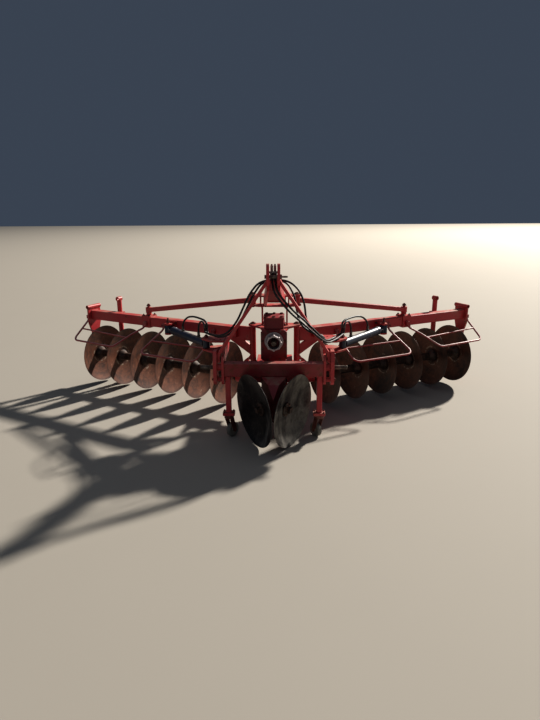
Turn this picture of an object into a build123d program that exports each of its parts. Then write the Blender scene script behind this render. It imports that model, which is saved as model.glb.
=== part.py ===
from build123d import *
from math import atan2, cos, radians, sin, sqrt, tan
import os

# A mounted disc plough that is driven from the tractor: a red headstock with a gearbox, two wings swept
# back, each with a gang of six dished discs, and two more discs in front in the middle.
# Millimetres, Z up, ground at Z = 0. The tractor is towards minus Y, and plus X is the right of the
# front view.

# Running and seating gaps
fit = 0.05
seat = 0.3
moving_gap = 6.0

# Hitch, category 2
hitch_y = -544.0
lower_pin_height = 520.0
lower_pin_spread = 825.0
lower_pin_radius = 14.2
lower_pin_shank_radius = 12.5
lower_pin_reach = 92.0
linch_hole_radius = 6.0
linch_hole_place = 76.0
top_pin_height = 1140.0
top_pin_radius = 12.7
ear_gap = 54.0
ear_thickness = 19.0
ear_top = top_pin_height + 86.0

# Cross tube, hitch plates and front braces
cross_depth = 70.0
cross_height = 96.0
cross_half_length = 340.0
cross_drop = 12.0
cross_middle = lower_pin_height - cross_drop
cross_bottom = cross_middle - cross_height / 2
side_plate_thickness = 18.0
hitch_plate_thickness = 25.0
hitch_plate_half_width = 55.0
hitch_plate_top = 640.0
hitch_plate_bottom = 404.0
sleeve_radius = 26.0
lug_height = 432.0
lug_radius = 17.0
brace_thickness = 20.0
brace_depth = 50.0

# Front legs and swivel casters
leg_x = 317.0
leg_width = 38.0
leg_bottom = 172.0
crown_thickness = 20.0
stem_radius = 9.0
stem_length = 40.0
fork_axle_radius = 6.0
fork_thickness = 5.0
fork_head_height = 22.0
front_wheel_radius = 52.0
front_wheel_width = 34.0
front_trail = 32.0
front_turn = -38.0
rear_wheel_radius = 45.0
rear_wheel_width = 30.0
rear_trail = 26.0
rear_turn = 12.0

# Swept wings and their hinges
sweep_angle = 27.0
hinge_x = 168.0
hinge_back = 517.0
hinge_pin_radius = 14.0
hinge_tube_radius = 22.0
hinge_tube_top = 694.0
hinge_tube_bottom = 421.0
hinge_lug_radius = 34.0
upper_lug_bottom = 700.0
upper_lug_top = 714.0
lower_lug_bottom = 395.0
lower_lug_top = 415.0

# Beam of a wing
beam_width = 80.0
beam_top = 680.0
beam_start = 132.0
beam_end = 1675.0
web_thickness = 18.0

# Gang of discs
gang_height = 284.0
disc_count = 6
disc_spacing = 268.0
first_rim = 249.0
disc_radius = 254.0
dish_radius = 560.0
disc_thickness = 5.0
disc_flat_radius = 60.0
disc_edge_radius = 240.0
disc_edge_land = 1.5
core_radius = 24.0
spool_waist_radius = 33.0
spool_end_radius = 56.0
spool_rim_width = 10.0
spool_flare = 36.0
bearing_radius = 58.0
bearing_start = 88.0
bearing_end = 141.0
outer_bearing_start = 1662.0
outer_bearing_end = 1699.0
outer_plate_thickness = 16.0
outer_plate_half_width = 71.5
outer_plate_top = 700.0
outer_pipe_radius = 17.0
ball_radius = 50.0
bell_inner_radius = 56.0
bell_outer_radius = 64.0
drive_radius = 100.0
drive_bottom = 205.0
axle_radius = 30.0

# Stay bar of a wing
stay_width = 38.0
stay_pin_place = 1030.0
stay_inner_height = 898.5
stay_rise = 55.0
stay_outer_height = beam_top + stay_rise
stay_pin_radius = 11.0
stay_eye_radius = 26.0
inner_eye_height = 61.0
outer_eye_height = 44.0

# Mast and its rear bracket, over and under the stays' eyes
mast_bend_back = 62.0
mast_tail_back = 530.0
mast_tail_half = 62.0
lower_plate_top = 867.0
upper_plate_bottom = 930.0
bracket_plate = 12.0

# Rear support post
post_place = 1430.0
post_behind = 70.0
post_radius = 21.0
post_top = 790.0
post_bottom = 172.0
post_head_radius = 20.0
post_head_length = 46.0

# Guard rails
rail_radius = 8.0
middle_rail_radius = 6.5
clamp_wall = 1.5
clamp_half_width = 16.0
clamp_bottom = 610.0
clamp_top = 640.0

# Gearbox and power shaft
gearbox_half_width = 70.0
gearbox_front = 134.0
gearbox_back = 430.0
gearbox_cover_back = 305.0
gearbox_top = 823.0
gearbox_bottom = 440.0
flange_thickness = 16.0
shaft_height = 675.0
shaft_radius = 17.45
shaft_tip = 36.0
shaft_inner_end = 174.0
spline_count = 6
guard_radius = 50.0
guard_bore = 42.0
guard_length = 70.0
guard_lobes = 8

# Middle discs
mid_disc_x = 135.0
mid_disc_ahead = 157.0
mid_disc_height = 258.0
mid_disc_turn = 60.0
mid_disc_droop = 4.0
mid_shaft_radius = 22.0
mid_core_radius = 20.0

# Cylinders that swing the wings
inner_pin_x = 500.0
inner_pin_back = 290.0
outer_pin_place = 755.0
outer_pin_ahead = 92.0
cylinder_height = 615.0
cylinder_radius = 30.0
gland_radius = 33.0
rod_radius = 15.0
dead_length = 90.0
cylinder_pin_radius = 12.0
base_eye_radius = 26.0
rod_eye_radius = 30.0
rod_eye_bore = 20.5
eye_height = 60.0
clevis_gap = 66.0
clevis_thickness = 12.0
hose_radius = 7.0
hose_turn_share = 0.45
hose_swivel_rise = 130.0

os.makedirs("parts", exist_ok=True)

up = Vector(0, 0, 1)
along = Vector(cos(radians(sweep_angle)), sin(radians(sweep_angle)), 0)
behind = Vector(-sin(radians(sweep_angle)), cos(radians(sweep_angle)), 0)
hinge = Vector(hinge_x, hitch_y + hinge_back, 0)


def write_piece(name, piece):
    piece.label = name
    export_step(piece, f"parts/{name}.step")


def write_pair(name, piece):
    write_piece(f"right_{name}", piece)
    write_piece(f"left_{name}", mirror(piece, about=Plane.YZ))


def back(distance):
    """Y of a point this far behind the lower link pins."""
    return hitch_y + distance


def wing_point(u, v, z):
    """Point of the right wing: along its gang, behind the gang and above the ground."""
    return hinge + along * u + behind * v + up * z


def across(x):
    """Upright plane with its own x to the rear, extruded towards plus X."""
    return Plane(origin=(x, 0, 0), x_dir=(0, 1, 0), z_dir=(1, 0, 0))


def facing(distance):
    """Upright plane behind the link pins, with its own x to the right, extruded towards the tractor."""
    return Plane(origin=(0, back(distance), 0), x_dir=(1, 0, 0), z_dir=(0, -1, 0))


def level(z):
    """Level plane whose own y is counted from the lower link pins."""
    return Plane(origin=(0, hitch_y, z))


def wing_level(z):
    """Level plane of the right wing, with its own x along the gang."""
    return Plane(origin=wing_point(0, 0, z), x_dir=along, z_dir=up)


def wing_side(v):
    """Upright plane along the right wing, extruded forwards."""
    return Plane(origin=wing_point(0, v, 0), x_dir=along, z_dir=-behind)


def wing_section(u):
    """Upright plane across the right wing, with its own x to the rear, extruded outwards."""
    return Plane(origin=wing_point(u, 0, 0), x_dir=behind, z_dir=along)


def turning_plane(origin, direction):
    """Plane for a turned profile: its x is the radius and its y runs along the axis."""
    return Plane(origin=origin, x_dir=up.cross(direction).cross(direction) * -1, z_dir=up.cross(direction))


def bent_bar(points, radius, bend):
    """Round bar or hose through some points, with tangent bends."""
    with BuildPart() as bar:
        with BuildLine() as path:
            FilletPolyline(*points, radius=bend)
        with BuildSketch(Plane(origin=path.line @ 0, z_dir=path.line % 0)):
            Circle(radius)
        sweep(path=path.line)
    return bar.part


def straight_bar(start, end, radius):
    """Round bar from one point to another."""
    with BuildPart() as bar:
        with BuildSketch(Plane(origin=start, z_dir=end - start)):
            Circle(radius)
        extrude(amount=(end - start).length)
    return bar.part


def flowing_hose(points, radius):
    """Hose through some points, where each turn is an arc about as large as its two runs allow."""
    start = points[0]
    with BuildPart() as hose:
        with BuildLine() as path:
            for before, corner, after in zip(points, points[1:], points[2:]):
                arriving = (corner - before).normalized()
                leaving = (after - corner).normalized()
                reach = hose_turn_share * min((corner - before).length, (after - corner).length)
                half_turn = radians(arriving.get_angle(leaving)) / 2
                arc_start = corner - arriving * reach
                arc_middle = corner + (leaving - arriving).normalized() * (reach * tan(half_turn / 2))
                arc_end = corner + leaving * reach
                Line(start, arc_start)
                ThreePointArc(arc_start, arc_middle, arc_end)
                start = arc_end
            Line(start, points[-1])
        with BuildSketch(Plane(origin=path.line @ 0, z_dir=path.line % 0)):
            Circle(radius)
        sweep(path=path.line)
    return hose.part


# Cross tube of the headstock
with BuildPart() as cross_tube:
    with BuildSketch(across(-cross_half_length)):
        with Locations((hitch_y, cross_middle)):
            RectangleRounded(cross_depth, cross_height, 8)
    extrude(amount=2 * cross_half_length)
write_piece("cross_tube", cross_tube.part)

# Side brackets: the end plates of the cross tube, with the clevis that holds each cylinder's base
side_outer = cross_half_length + side_plate_thickness
clevis_low = cylinder_height - clevis_gap / 2 - clevis_thickness
clevis_high = cylinder_height + clevis_gap / 2
clevis_top = clevis_high + clevis_thickness
with BuildPart() as side_brackets:
    with BuildSketch(across(cross_half_length)):
        with BuildLine():
            Polyline(
                (back(-40), 424),
                (back(-24), hitch_plate_bottom),
                (back(24), hitch_plate_bottom),
                (back(40), 424),
                (back(44), 500),
                (back(120), 548),
                (back(378), 556),
                (back(378), clevis_top),
                (back(104), clevis_top),
                (back(56), 604),
                (back(-20), 598),
                (back(-40), 572),
                close=True,
            )
        make_face()
    extrude(amount=side_plate_thickness)
    for floor in (clevis_low, clevis_high):
        with BuildSketch(level(floor)):
            with BuildLine():
                Polyline(
                    (side_outer, 182),
                    (448, 182),
                    (530, 264),
                    (530, 312),
                    (508, 330),
                    (430, 374),
                    (side_outer, 374),
                    close=True,
                )
            make_face()
        extrude(amount=clevis_thickness)
    with BuildSketch(level(clevis_high)):
        with Locations((388, 226), (436, 226), (388, 326), (436, 326)):
            Circle(9)
    extrude(amount=clevis_thickness, mode=Mode.SUBTRACT)
    with BuildSketch(level(clevis_low)):
        with Locations((inner_pin_x, inner_pin_back)):
            Circle(cylinder_pin_radius)
    extrude(amount=clevis_top - clevis_low + 8)
    mirror(about=Plane.YZ)
write_piece("side_brackets", side_brackets.part)

# Hitch plates with the sleeves of the link pin and of the lower lug
plate_outer = lower_pin_spread / 2
plate_inner = plate_outer - hitch_plate_thickness
with BuildPart() as hitch_plates:
    with BuildSketch(across(plate_inner)):
        with BuildLine():
            Polyline(
                (back(-hitch_plate_half_width), hitch_plate_bottom + 24),
                (back(-hitch_plate_half_width + 24), hitch_plate_bottom),
                (back(hitch_plate_half_width - 24), hitch_plate_bottom),
                (back(hitch_plate_half_width), hitch_plate_bottom + 24),
                (back(hitch_plate_half_width), lower_pin_height + 50),
                (back(30), hitch_plate_top),
                (back(-30), hitch_plate_top),
                (back(-hitch_plate_half_width), lower_pin_height + 50),
                close=True,
            )
        make_face()
    extrude(amount=hitch_plate_thickness)
    with BuildSketch(across(side_outer)):
        with Locations((hitch_y, lower_pin_height)):
            Circle(sleeve_radius)
        with Locations((hitch_y, lug_height)):
            Circle(lug_radius)
    extrude(amount=plate_inner - side_outer)
    with BuildSketch(across(side_outer)):
        with Locations((hitch_y, lower_pin_height)):
            Circle(lower_pin_shank_radius + fit)
    extrude(amount=plate_outer - side_outer, mode=Mode.SUBTRACT)
    mirror(about=Plane.YZ)
write_piece("hitch_plates", hitch_plates.part)

# Lower link pins: a shank in the hitch plate and a thicker end, drilled for its linch pin
with BuildPart() as hitch_pins:
    with BuildSketch(across(side_outer + seat)):
        with Locations((hitch_y, lower_pin_height)):
            Circle(lower_pin_shank_radius)
    extrude(amount=plate_outer - side_outer)
    with BuildSketch(across(plate_outer + seat)):
        with Locations((hitch_y, lower_pin_height)):
            Circle(lower_pin_radius)
    extrude(amount=lower_pin_reach - seat)
    chamfer(hitch_pins.faces().sort_by(Axis.X)[-1].edges(), 3)
    with Locations((plate_outer + linch_hole_place, hitch_y, lower_pin_height)):
        Cylinder(linch_hole_radius, 4 * lower_pin_radius, mode=Mode.SUBTRACT)
    mirror(about=Plane.YZ)
write_piece("hitch_pins", hitch_pins.part)

# Front legs with the crowns that the casters turn in
with BuildPart() as front_legs:
    with BuildSketch(level(leg_bottom)):
        with Locations((leg_x, 0)):
            RectangleRounded(leg_width, leg_width, 5)
    extrude(amount=cross_bottom - leg_bottom)
    with BuildSketch(level(leg_bottom)):
        with Locations((leg_x, 0)):
            RectangleRounded(84, 64, 8)
    extrude(amount=crown_thickness)
    with BuildSketch(level(leg_bottom)):
        with Locations((leg_x, 0)):
            Circle(stem_radius + fit)
    extrude(amount=stem_length + seat, mode=Mode.SUBTRACT)
    mirror(about=Plane.YZ)
write_piece("front_legs", front_legs.part)


def caster_direction(turn):
    """The way a caster trails, turned from straight behind."""
    return Vector(sin(radians(turn)), cos(radians(turn)), 0)


def caster_fork(stem_point, turn, trail, radius, width):
    """Swivel fork under a stem point, reaching down to its wheel's axle."""
    way = caster_direction(turn)
    inside = width / 2 + moving_gap
    head_top = stem_point.Z - seat
    head_bottom = head_top - fork_head_height
    head_radius = inside + fork_thickness + 6
    foot = Vector(stem_point.X, stem_point.Y, 0)
    with BuildPart() as fork:
        with BuildSketch(Plane(origin=foot + up * head_bottom)):
            Circle(head_radius)
        extrude(amount=fork_head_height)
        with BuildSketch(Plane(origin=foot + up * head_top)):
            Circle(stem_radius)
        extrude(amount=stem_length)
        for side in (-1, 1):
            middle = Plane(origin=foot, x_dir=way, z_dir=way.cross(up))
            with BuildSketch(middle.offset(side * (inside + fork_thickness / 2))):
                with BuildLine():
                    Polyline(
                        (-head_radius * 0.55, head_bottom + 4),
                        (-head_radius * 0.55, head_bottom),
                        (trail - 15, radius - 4),
                        (trail - 6, radius - 13),
                        (trail + 6, radius - 13),
                        (trail + 15, radius - 4),
                        (head_radius * 0.55, head_bottom + 4),
                        close=True,
                    )
                make_face()
            extrude(amount=fork_thickness / 2, both=True)
        with BuildSketch(Plane(origin=foot, x_dir=way, z_dir=way.cross(up))):
            with Locations((trail, radius)):
                Circle(fork_axle_radius)
        extrude(amount=inside + fork_thickness + 4, both=True)
    return fork.part


def caster_wheel(stem_point, turn, trail, radius, width):
    """Wheel of a swivel caster, with a raised hub and a crowned tread."""
    way = caster_direction(turn)
    centre = Vector(stem_point.X, stem_point.Y, radius) + way * trail
    axle = way.cross(up)
    half = width / 2
    with BuildPart() as wheel:
        with BuildSketch(turning_plane(centre, axle)):
            with BuildLine():
                Polyline(
                    (fork_axle_radius + fit, -half),
                    (14, -half),
                    (18, -half + 6),
                    (radius - 19, -half + 6),
                    (radius - 15, -half),
                    (radius - 7, -half),
                    (radius, -half + 7),
                    (radius, half - 7),
                    (radius - 7, half),
                    (radius - 15, half),
                    (radius - 19, half - 6),
                    (18, half - 6),
                    (14, half),
                    (fork_axle_radius + fit, half),
                    close=True,
                )
            make_face()
        revolve(axis=Axis(centre, axle))
    return wheel.part


front_stem = Vector(leg_x, hitch_y, leg_bottom)
rear_stem = wing_point(post_place, post_behind, post_bottom)
front_caster = (front_stem, front_turn, front_trail, front_wheel_radius, front_wheel_width)
rear_caster = (rear_stem, rear_turn, rear_trail, rear_wheel_radius, rear_wheel_width)
write_pair("front_caster_fork", caster_fork(*front_caster))
write_pair("front_caster_wheel", caster_wheel(*front_caster))
write_pair("rear_caster_fork", caster_fork(*rear_caster))
write_pair("rear_caster_wheel", caster_wheel(*rear_caster))

# Mast cheeks: the ears for the top link, and arms that run back and down and spread as they go
arm_angle = atan2(mast_tail_half - ear_gap / 2, 470 - mast_bend_back)
arm_plane = Plane(
    origin=(ear_gap / 2, back(mast_bend_back), 0),
    x_dir=(sin(arm_angle), cos(arm_angle), 0),
    z_dir=(cos(arm_angle), -sin(arm_angle), 0),
)
arm_foot = (440 - mast_bend_back) / cos(arm_angle)
arm_shoulder = (455 - mast_bend_back) / cos(arm_angle)
arm_end = (mast_tail_back - mast_bend_back) / cos(arm_angle)
with BuildPart() as mast_cheeks:
    with BuildSketch(across(ear_gap / 2)):
        with BuildLine():
            Polyline(
                (back(-34), top_pin_height - 20),
                (back(-20), top_pin_height - 50),
                (back(mast_bend_back), top_pin_height - 100),
                (back(mast_bend_back), top_pin_height + 34),
                (back(27), top_pin_height + 70),
            )
            ThreePointArc(
                (back(27), top_pin_height + 70), (back(0), ear_top), (back(-27), top_pin_height + 68)
            )
            Line((back(-27), top_pin_height + 68), (back(-34), top_pin_height - 20))
        make_face()
        with Locations((hitch_y, top_pin_height)):
            Circle(top_pin_radius + fit, mode=Mode.SUBTRACT)
    extrude(amount=ear_thickness)
    with BuildSketch(arm_plane):
        with BuildLine():
            Polyline(
                (-3, top_pin_height - 100),
                (arm_foot, lower_plate_top),
                (arm_end, lower_plate_top),
                (arm_end, upper_plate_bottom),
                (arm_shoulder, upper_plate_bottom),
                (-3, top_pin_height + 10),
                close=True,
            )
        make_face()
    extrude(amount=ear_thickness)
    mirror(about=Plane.YZ)
write_piece("mast_cheeks", mast_cheeks.part)

# Top link pin with its handle ring
pin_half = ear_gap / 2 + ear_thickness + 12
with BuildPart() as top_link_pin:
    with BuildSketch(across(-pin_half)):
        with Locations((hitch_y, top_pin_height)):
            Circle(top_pin_radius)
    extrude(amount=2 * pin_half)
    with BuildSketch(across(ear_gap / 2 + ear_thickness + seat)):
        with Locations((hitch_y, top_pin_height)):
            Circle(top_pin_radius + 4)
    extrude(amount=8)
    with BuildSketch(Plane(origin=(pin_half + 17, hitch_y, top_pin_height - 4))):
        Circle(21)
        Circle(14, mode=Mode.SUBTRACT)
    extrude(amount=8)
write_piece("top_link_pin", top_link_pin.part)

# Sloping cover plate between the mast's arms
with BuildPart() as mast_cover:
    with BuildSketch(across(-80)):
        with BuildLine():
            Polyline(
                (back(85), top_pin_height - 42),
                (back(440), upper_plate_bottom - 30),
                (back(440), upper_plate_bottom - 39),
                (back(81), top_pin_height - 49),
                close=True,
            )
        make_face()
    extrude(amount=160)
    with BuildSketch(level(lower_plate_top)):
        with BuildLine():
            Polyline(
                (-ear_gap / 2, mast_bend_back),
                (ear_gap / 2, mast_bend_back),
                (mast_tail_half, 470),
                (-mast_tail_half, 470),
                close=True,
            )
        make_face()
    extrude(amount=top_pin_height - lower_plate_top, mode=Mode.INTERSECT)
write_piece("mast_cover", mast_cover.part)

# Front braces: flat bars on edge from the ears down to the hitch plates
brace_foot_x = plate_inner - brace_thickness
with BuildPart() as front_braces:
    with BuildSketch(facing(39)):
        with BuildLine():
            Polyline(
                (ear_gap / 2 + ear_thickness, top_pin_height - 21),
                (ear_gap / 2 + ear_thickness, top_pin_height - 57.5),
                (brace_foot_x, lower_pin_height + 87.5),
                (brace_foot_x, lower_pin_height + 36),
                (plate_inner, lower_pin_height + 36),
                (plate_inner, lower_pin_height + 93.6),
                close=True,
            )
        make_face()
    extrude(amount=brace_depth)
    mirror(about=Plane.YZ)
write_piece("front_braces", front_braces.part)

# Rear bracket of the mast: a plate under the stays' eyes, one over each, and hangers to the hinge plate
with BuildPart() as stay_bracket:
    for floor, inner in ((lower_plate_top - bracket_plate, -1), (upper_plate_bottom, 60)):
        with BuildSketch(level(floor)):
            with BuildLine():
                Polyline(
                    (inner, 455),
                    (120, 455),
                    (hinge_x + 24, hinge_back - 24),
                    (hinge_x + 24, hinge_back + 24),
                    (120, 551),
                    (inner, 551),
                    close=True,
                )
            make_face()
            with Locations((hinge_x, hinge_back)):
                Circle(hinge_lug_radius)
                Circle(hinge_pin_radius + fit, mode=Mode.SUBTRACT)
        extrude(amount=bracket_plate)
    with BuildSketch(level(lower_plate_top)):
        with Locations((106, 500)):
            Rectangle(10, 70)
    extrude(amount=upper_plate_bottom - lower_plate_top)
    with BuildSketch(level(upper_lug_top)):
        with Locations((93, 478)):
            Rectangle(12, 44)
    extrude(amount=lower_plate_top - bracket_plate - upper_lug_top)
    mirror(about=Plane.YZ)
write_piece("stay_bracket", stay_bracket.part)

# Plates that carry the wings' hinges, behind the gearbox and on the rear drive case
with BuildPart() as upper_hinge_plate:
    with BuildSketch(level(upper_lug_bottom)):
        with BuildLine():
            Polyline(
                (0, gearbox_cover_back + seat),
                (88, gearbox_cover_back + seat),
                (108, 400),
                (hinge_x + 24, hinge_back - 24),
                (hinge_x + 24, hinge_back + 24),
                (120, 551),
                (0, 551),
                close=True,
            )
        make_face()
        with Locations((hinge_x, hinge_back)):
            Circle(hinge_lug_radius)
            Circle(hinge_pin_radius + fit, mode=Mode.SUBTRACT)
    extrude(amount=upper_lug_top - upper_lug_bottom)
    mirror(about=Plane.YZ)
write_piece("upper_hinge_plate", upper_hinge_plate.part)

with BuildPart() as lower_hinge_plate:
    with BuildSketch(level(lower_lug_bottom)):
        with BuildLine():
            Polyline(
                (0, 400),
                (140, 400),
                (hinge_x + 24, hinge_back - 24),
                (hinge_x + 24, hinge_back + 24),
                (140, 551),
                (0, 551),
                close=True,
            )
        make_face()
        with Locations((hinge_x, hinge_back)):
            Circle(hinge_lug_radius)
            Circle(hinge_pin_radius + fit, mode=Mode.SUBTRACT)
    extrude(amount=lower_lug_top - lower_lug_bottom)
    mirror(about=Plane.YZ)
write_piece("lower_hinge_plate", lower_hinge_plate.part)

# Hinge pins, a long one through each wing's bracket and a short one through each stay's eye
with BuildPart() as hinge_pins:
    spans = (
        (lower_lug_bottom - 10, upper_lug_top + 8),
        (lower_plate_top - bracket_plate - 10, upper_plate_bottom + bracket_plate + 8),
    )
    for foot, head in spans:
        with BuildSketch(level(foot)):
            with Locations((hinge_x, hinge_back)):
                Circle(hinge_pin_radius)
        extrude(amount=head - foot)
        with BuildSketch(level(head - 8 + seat)):
            with Locations((hinge_x, hinge_back)):
                Circle(hinge_pin_radius + 8)
        extrude(amount=8 - seat)
    mirror(about=Plane.YZ)
write_piece("hinge_pins", hinge_pins.part)

# Side rails from under the cross tube back to the lower hinge plate
with BuildPart() as side_rails:
    with BuildSketch(facing(545)):
        with Locations((112, (lower_lug_top + cross_bottom) / 2)):
            RectangleRounded(44, cross_bottom - lower_lug_top, 4)
    extrude(amount=560)
    mirror(about=Plane.YZ)
write_piece("side_rails", side_rails.part)

# Gearbox: body, bolted cover, ribs and the wide front flange
gearbox_middle = (gearbox_front + gearbox_back) / 2
gearbox_length = gearbox_back - gearbox_front
cover_middle = (gearbox_front + gearbox_cover_back) / 2
cover_length = gearbox_cover_back - gearbox_front
with BuildPart() as gearbox:
    with BuildSketch(level(gearbox_bottom)):
        with Locations((0, gearbox_middle)):
            RectangleRounded(2 * gearbox_half_width, gearbox_length, 26)
    extrude(amount=upper_lug_bottom - gearbox_bottom)
    with BuildSketch(level(gearbox_bottom)):
        with Locations((0, cover_middle)):
            RectangleRounded(2 * gearbox_half_width, cover_length, 26)
    extrude(amount=gearbox_top - gearbox_bottom)
    with BuildSketch(facing(gearbox_front)):
        with BuildLine():
            Polyline(
                (-92, 738),
                (-74, 755),
                (74, 755),
                (92, 738),
                (92, 547),
                (74, 530),
                (-74, 530),
                (-92, 547),
                close=True,
            )
        make_face()
    extrude(amount=flange_thickness)
    with BuildSketch(level(gearbox_top)):
        with Locations((0, cover_middle)):
            RectangleRounded(2 * gearbox_half_width + 8, cover_length + 8, 28)
    extrude(amount=15)
    with BuildSketch(level(gearbox_top + 15)):
        with Locations((0, cover_middle)):
            with GridLocations(54, cover_length - 36, 3, 2):
                Circle(9)
    extrude(amount=8)
    with BuildSketch(level(480)):
        with Locations((0, gearbox_middle)):
            RectangleRounded(2 * gearbox_half_width + 12, gearbox_length - 60, 10)
    extrude(amount=12)
    with BuildSketch(level(gearbox_top - 38)):
        with Locations((0, cover_middle)):
            RectangleRounded(2 * gearbox_half_width + 12, cover_length - 60, 10)
    extrude(amount=12)
    with BuildSketch(facing(gearbox_front - flange_thickness)):
        with Locations((0, shaft_height)):
            Circle(shaft_radius + fit)
    extrude(amount=-(shaft_inner_end - gearbox_front + flange_thickness + seat), mode=Mode.SUBTRACT)
write_piece("gearbox", gearbox.part)

# Power shaft stub with six splines
with BuildPart() as power_shaft:
    with BuildSketch(facing(shaft_inner_end)):
        with Locations((0, shaft_height)):
            Circle(shaft_radius)
    extrude(amount=shaft_inner_end - shaft_tip)
    with BuildSketch(facing(gearbox_front - flange_thickness - 6)):
        with Locations((0, shaft_height)):
            with PolarLocations(shaft_radius, spline_count, start_angle=30):
                Rectangle(5.3, 8.1)
    extrude(amount=gearbox_front, mode=Mode.SUBTRACT)
write_piece("power_shaft", power_shaft.part)

# Cast guard round the power shaft, lobed all round
with BuildPart() as shaft_guard:
    with BuildSketch(facing(gearbox_front - flange_thickness)):
        with Locations((0, shaft_height)):
            Circle(guard_radius)
            with PolarLocations(guard_radius - 2, guard_lobes):
                Circle(9)
            Circle(guard_bore, mode=Mode.SUBTRACT)
    extrude(amount=guard_length)
    with BuildSketch(facing(gearbox_front - flange_thickness)):
        with Locations((0, shaft_height)):
            Circle(guard_radius + 16)
            Circle(guard_bore, mode=Mode.SUBTRACT)
    extrude(amount=8)
write_piece("shaft_guard", shaft_guard.part)

# Drop case below the cross tube: a wedge in plan, with a bearing boss for each middle disc
turn = radians(mid_disc_turn)
droop = radians(mid_disc_droop)
spindle = Vector(sin(turn) * cos(droop), -cos(turn) * cos(droop), -sin(droop))
mid_rim = Vector(mid_disc_x, back(-mid_disc_ahead), mid_disc_height)
mid_rim_reach = mid_disc_x / spindle.X
spindle_root = mid_rim - spindle * mid_rim_reach
left_spindle = Vector(-spindle.X, spindle.Y, spindle.Z)
boss_reach = 76.0
hub_reach = 82.0
with BuildPart() as drop_case:
    with BuildSketch(level(190)):
        with BuildLine():
            Polyline(
                (0, -185),
                (84, -39.5),
                (84, 60),
                (60, 100),
                (60, 300),
                (-60, 300),
                (-60, 100),
                (-84, 60),
                (-84, -39.5),
                close=True,
            )
        make_face()
    extrude(amount=300)
    with BuildSketch(across(-90)):
        with BuildLine():
            Polyline(
                (back(-190), 205),
                (back(-190), 335),
                (back(-120), 430),
                (back(-cross_depth / 2), cross_bottom),
                (back(cross_depth / 2), cross_bottom),
                (back(cross_depth / 2 + 10), gearbox_bottom),
                (back(300), gearbox_bottom),
                (back(300), drive_bottom),
                close=True,
            )
        make_face()
    extrude(amount=180, mode=Mode.INTERSECT)
    for way in (spindle, left_spindle):
        with BuildSketch(Plane(origin=spindle_root + way * 20, z_dir=way)):
            Circle(46)
        extrude(amount=boss_reach - 20)
    for way in (spindle, left_spindle):
        with BuildSketch(Plane(origin=spindle_root + way * 32, z_dir=way)):
            Circle(mid_shaft_radius + fit)
        extrude(amount=boss_reach - 32, mode=Mode.SUBTRACT)
    with BuildSketch(level(192)):
        with BuildLine():
            Polyline((0, -196), (70, -75), (70, 60), (-70, 60), (-70, -75), close=True)
        make_face()
    extrude(amount=14)
write_piece("drop_case", drop_case.part)

# Rear drive case with the axle tubes and balls that the gangs' bells close over
drive_centre = wing_point(-hinge_x / along.X, 0, 0)
with BuildPart() as gang_drive:
    with BuildSketch(Plane(origin=drive_centre + up * drive_bottom)):
        Circle(drive_radius)
    extrude(amount=lower_lug_bottom - drive_bottom)
    with BuildSketch(level(drive_bottom)):
        with Locations((0, 300)):
            Rectangle(120, 130, align=(Align.CENTER, Align.MIN))
    extrude(amount=lower_lug_bottom - drive_bottom)
    with BuildSketch(wing_section(-150)):
        with Locations((0, gang_height)):
            Circle(axle_radius)
    extrude(amount=150)
    with Locations(wing_point(0, 0, gang_height)):
        Sphere(ball_radius)
    mirror(about=Plane.YZ)
write_piece("gang_drive", gang_drive.part)

# Quick couplers parked between the ears, on their bracket
coupler_foot = top_pin_height + 18
with BuildPart() as couplers:
    with BuildSketch(level(coupler_foot)):
        with Locations((0, 48)):
            Rectangle(ear_gap, 20)
    extrude(amount=12)
    with BuildSketch(level(coupler_foot + 12)):
        with Locations((-11, 48), (11, 48)):
            Circle(9)
    extrude(amount=38)
    with BuildSketch(level(coupler_foot + 50)):
        with Locations((-11, 48), (11, 48)):
            Circle(6)
    extrude(amount=10)
write_piece("couplers", couplers.part)

# Hoses: a pair from the couplers down the right brace, and a pair that crosses over to the left
swivel_height = cylinder_height + hose_swivel_rise
hose_ends = (
    ((11, 48, coupler_foot), (492.9, 295.6, swivel_height)),
    ((-11, 48, coupler_foot), (507.1, 284.4, swivel_height)),
    ((349, 110, clevis_top), (-507.1, 284.4, swivel_height)),
    ((349, 150, clevis_top), (-492.9, 295.6, swivel_height)),
)
# Columns: place to the right, place behind the link pins, share of the way up from brackets to couplers
hose_middles = (
    (
        (11, 48, 0.9), (26, -32, 0.779), (76, -36, 0.643), (140, -36, 0.506), (212, -36, 0.382),
        (282, -34, 0.241), (342, 6, 0.108), (372, 86, 0.056), (432, 196, 0.044), (492.9, 295.6, 0.068),
    ),
    (
        (-11, 48, 0.9), (6, -38, 0.763), (62, -54, 0.614), (126, -54, 0.478), (204, -54, 0.345),
        (278, -52, 0.209), (348, -6, 0.08), (386, 80, 0.032), (446, 180, 0.032), (507.1, 284.4, 0.068),
    ),
    (
        (349, 110, 0.1), (268, 110, 0.157), (222, 114, 0.341), (214, 124, 0.542), (182, 144, 0.727),
        (112, 190, 0.851), (0, 212, 0.88), (-104, 186, 0.843), (-166, 110, 0.703), (-208, 62, 0.522),
        (-250, 52, 0.341), (-320, 66, 0.169), (-400, 160, 0.084), (-507.1, 284.4, 0.076),
    ),
    (
        (349, 150, 0.092), (258, 150, 0.137), (182, 150, 0.261), (160, 156, 0.442), (146, 184, 0.643),
        (92, 226, 0.831), (0, 240, 0.859), (-88, 216, 0.823), (-146, 140, 0.663), (-190, 88, 0.486),
        (-234, 78, 0.305), (-306, 94, 0.137), (-386, 190, 0.048), (-492.9, 295.6, 0.056),
    ),
)
hose_rise = coupler_foot - clevis_top
hose_runs = []
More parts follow.
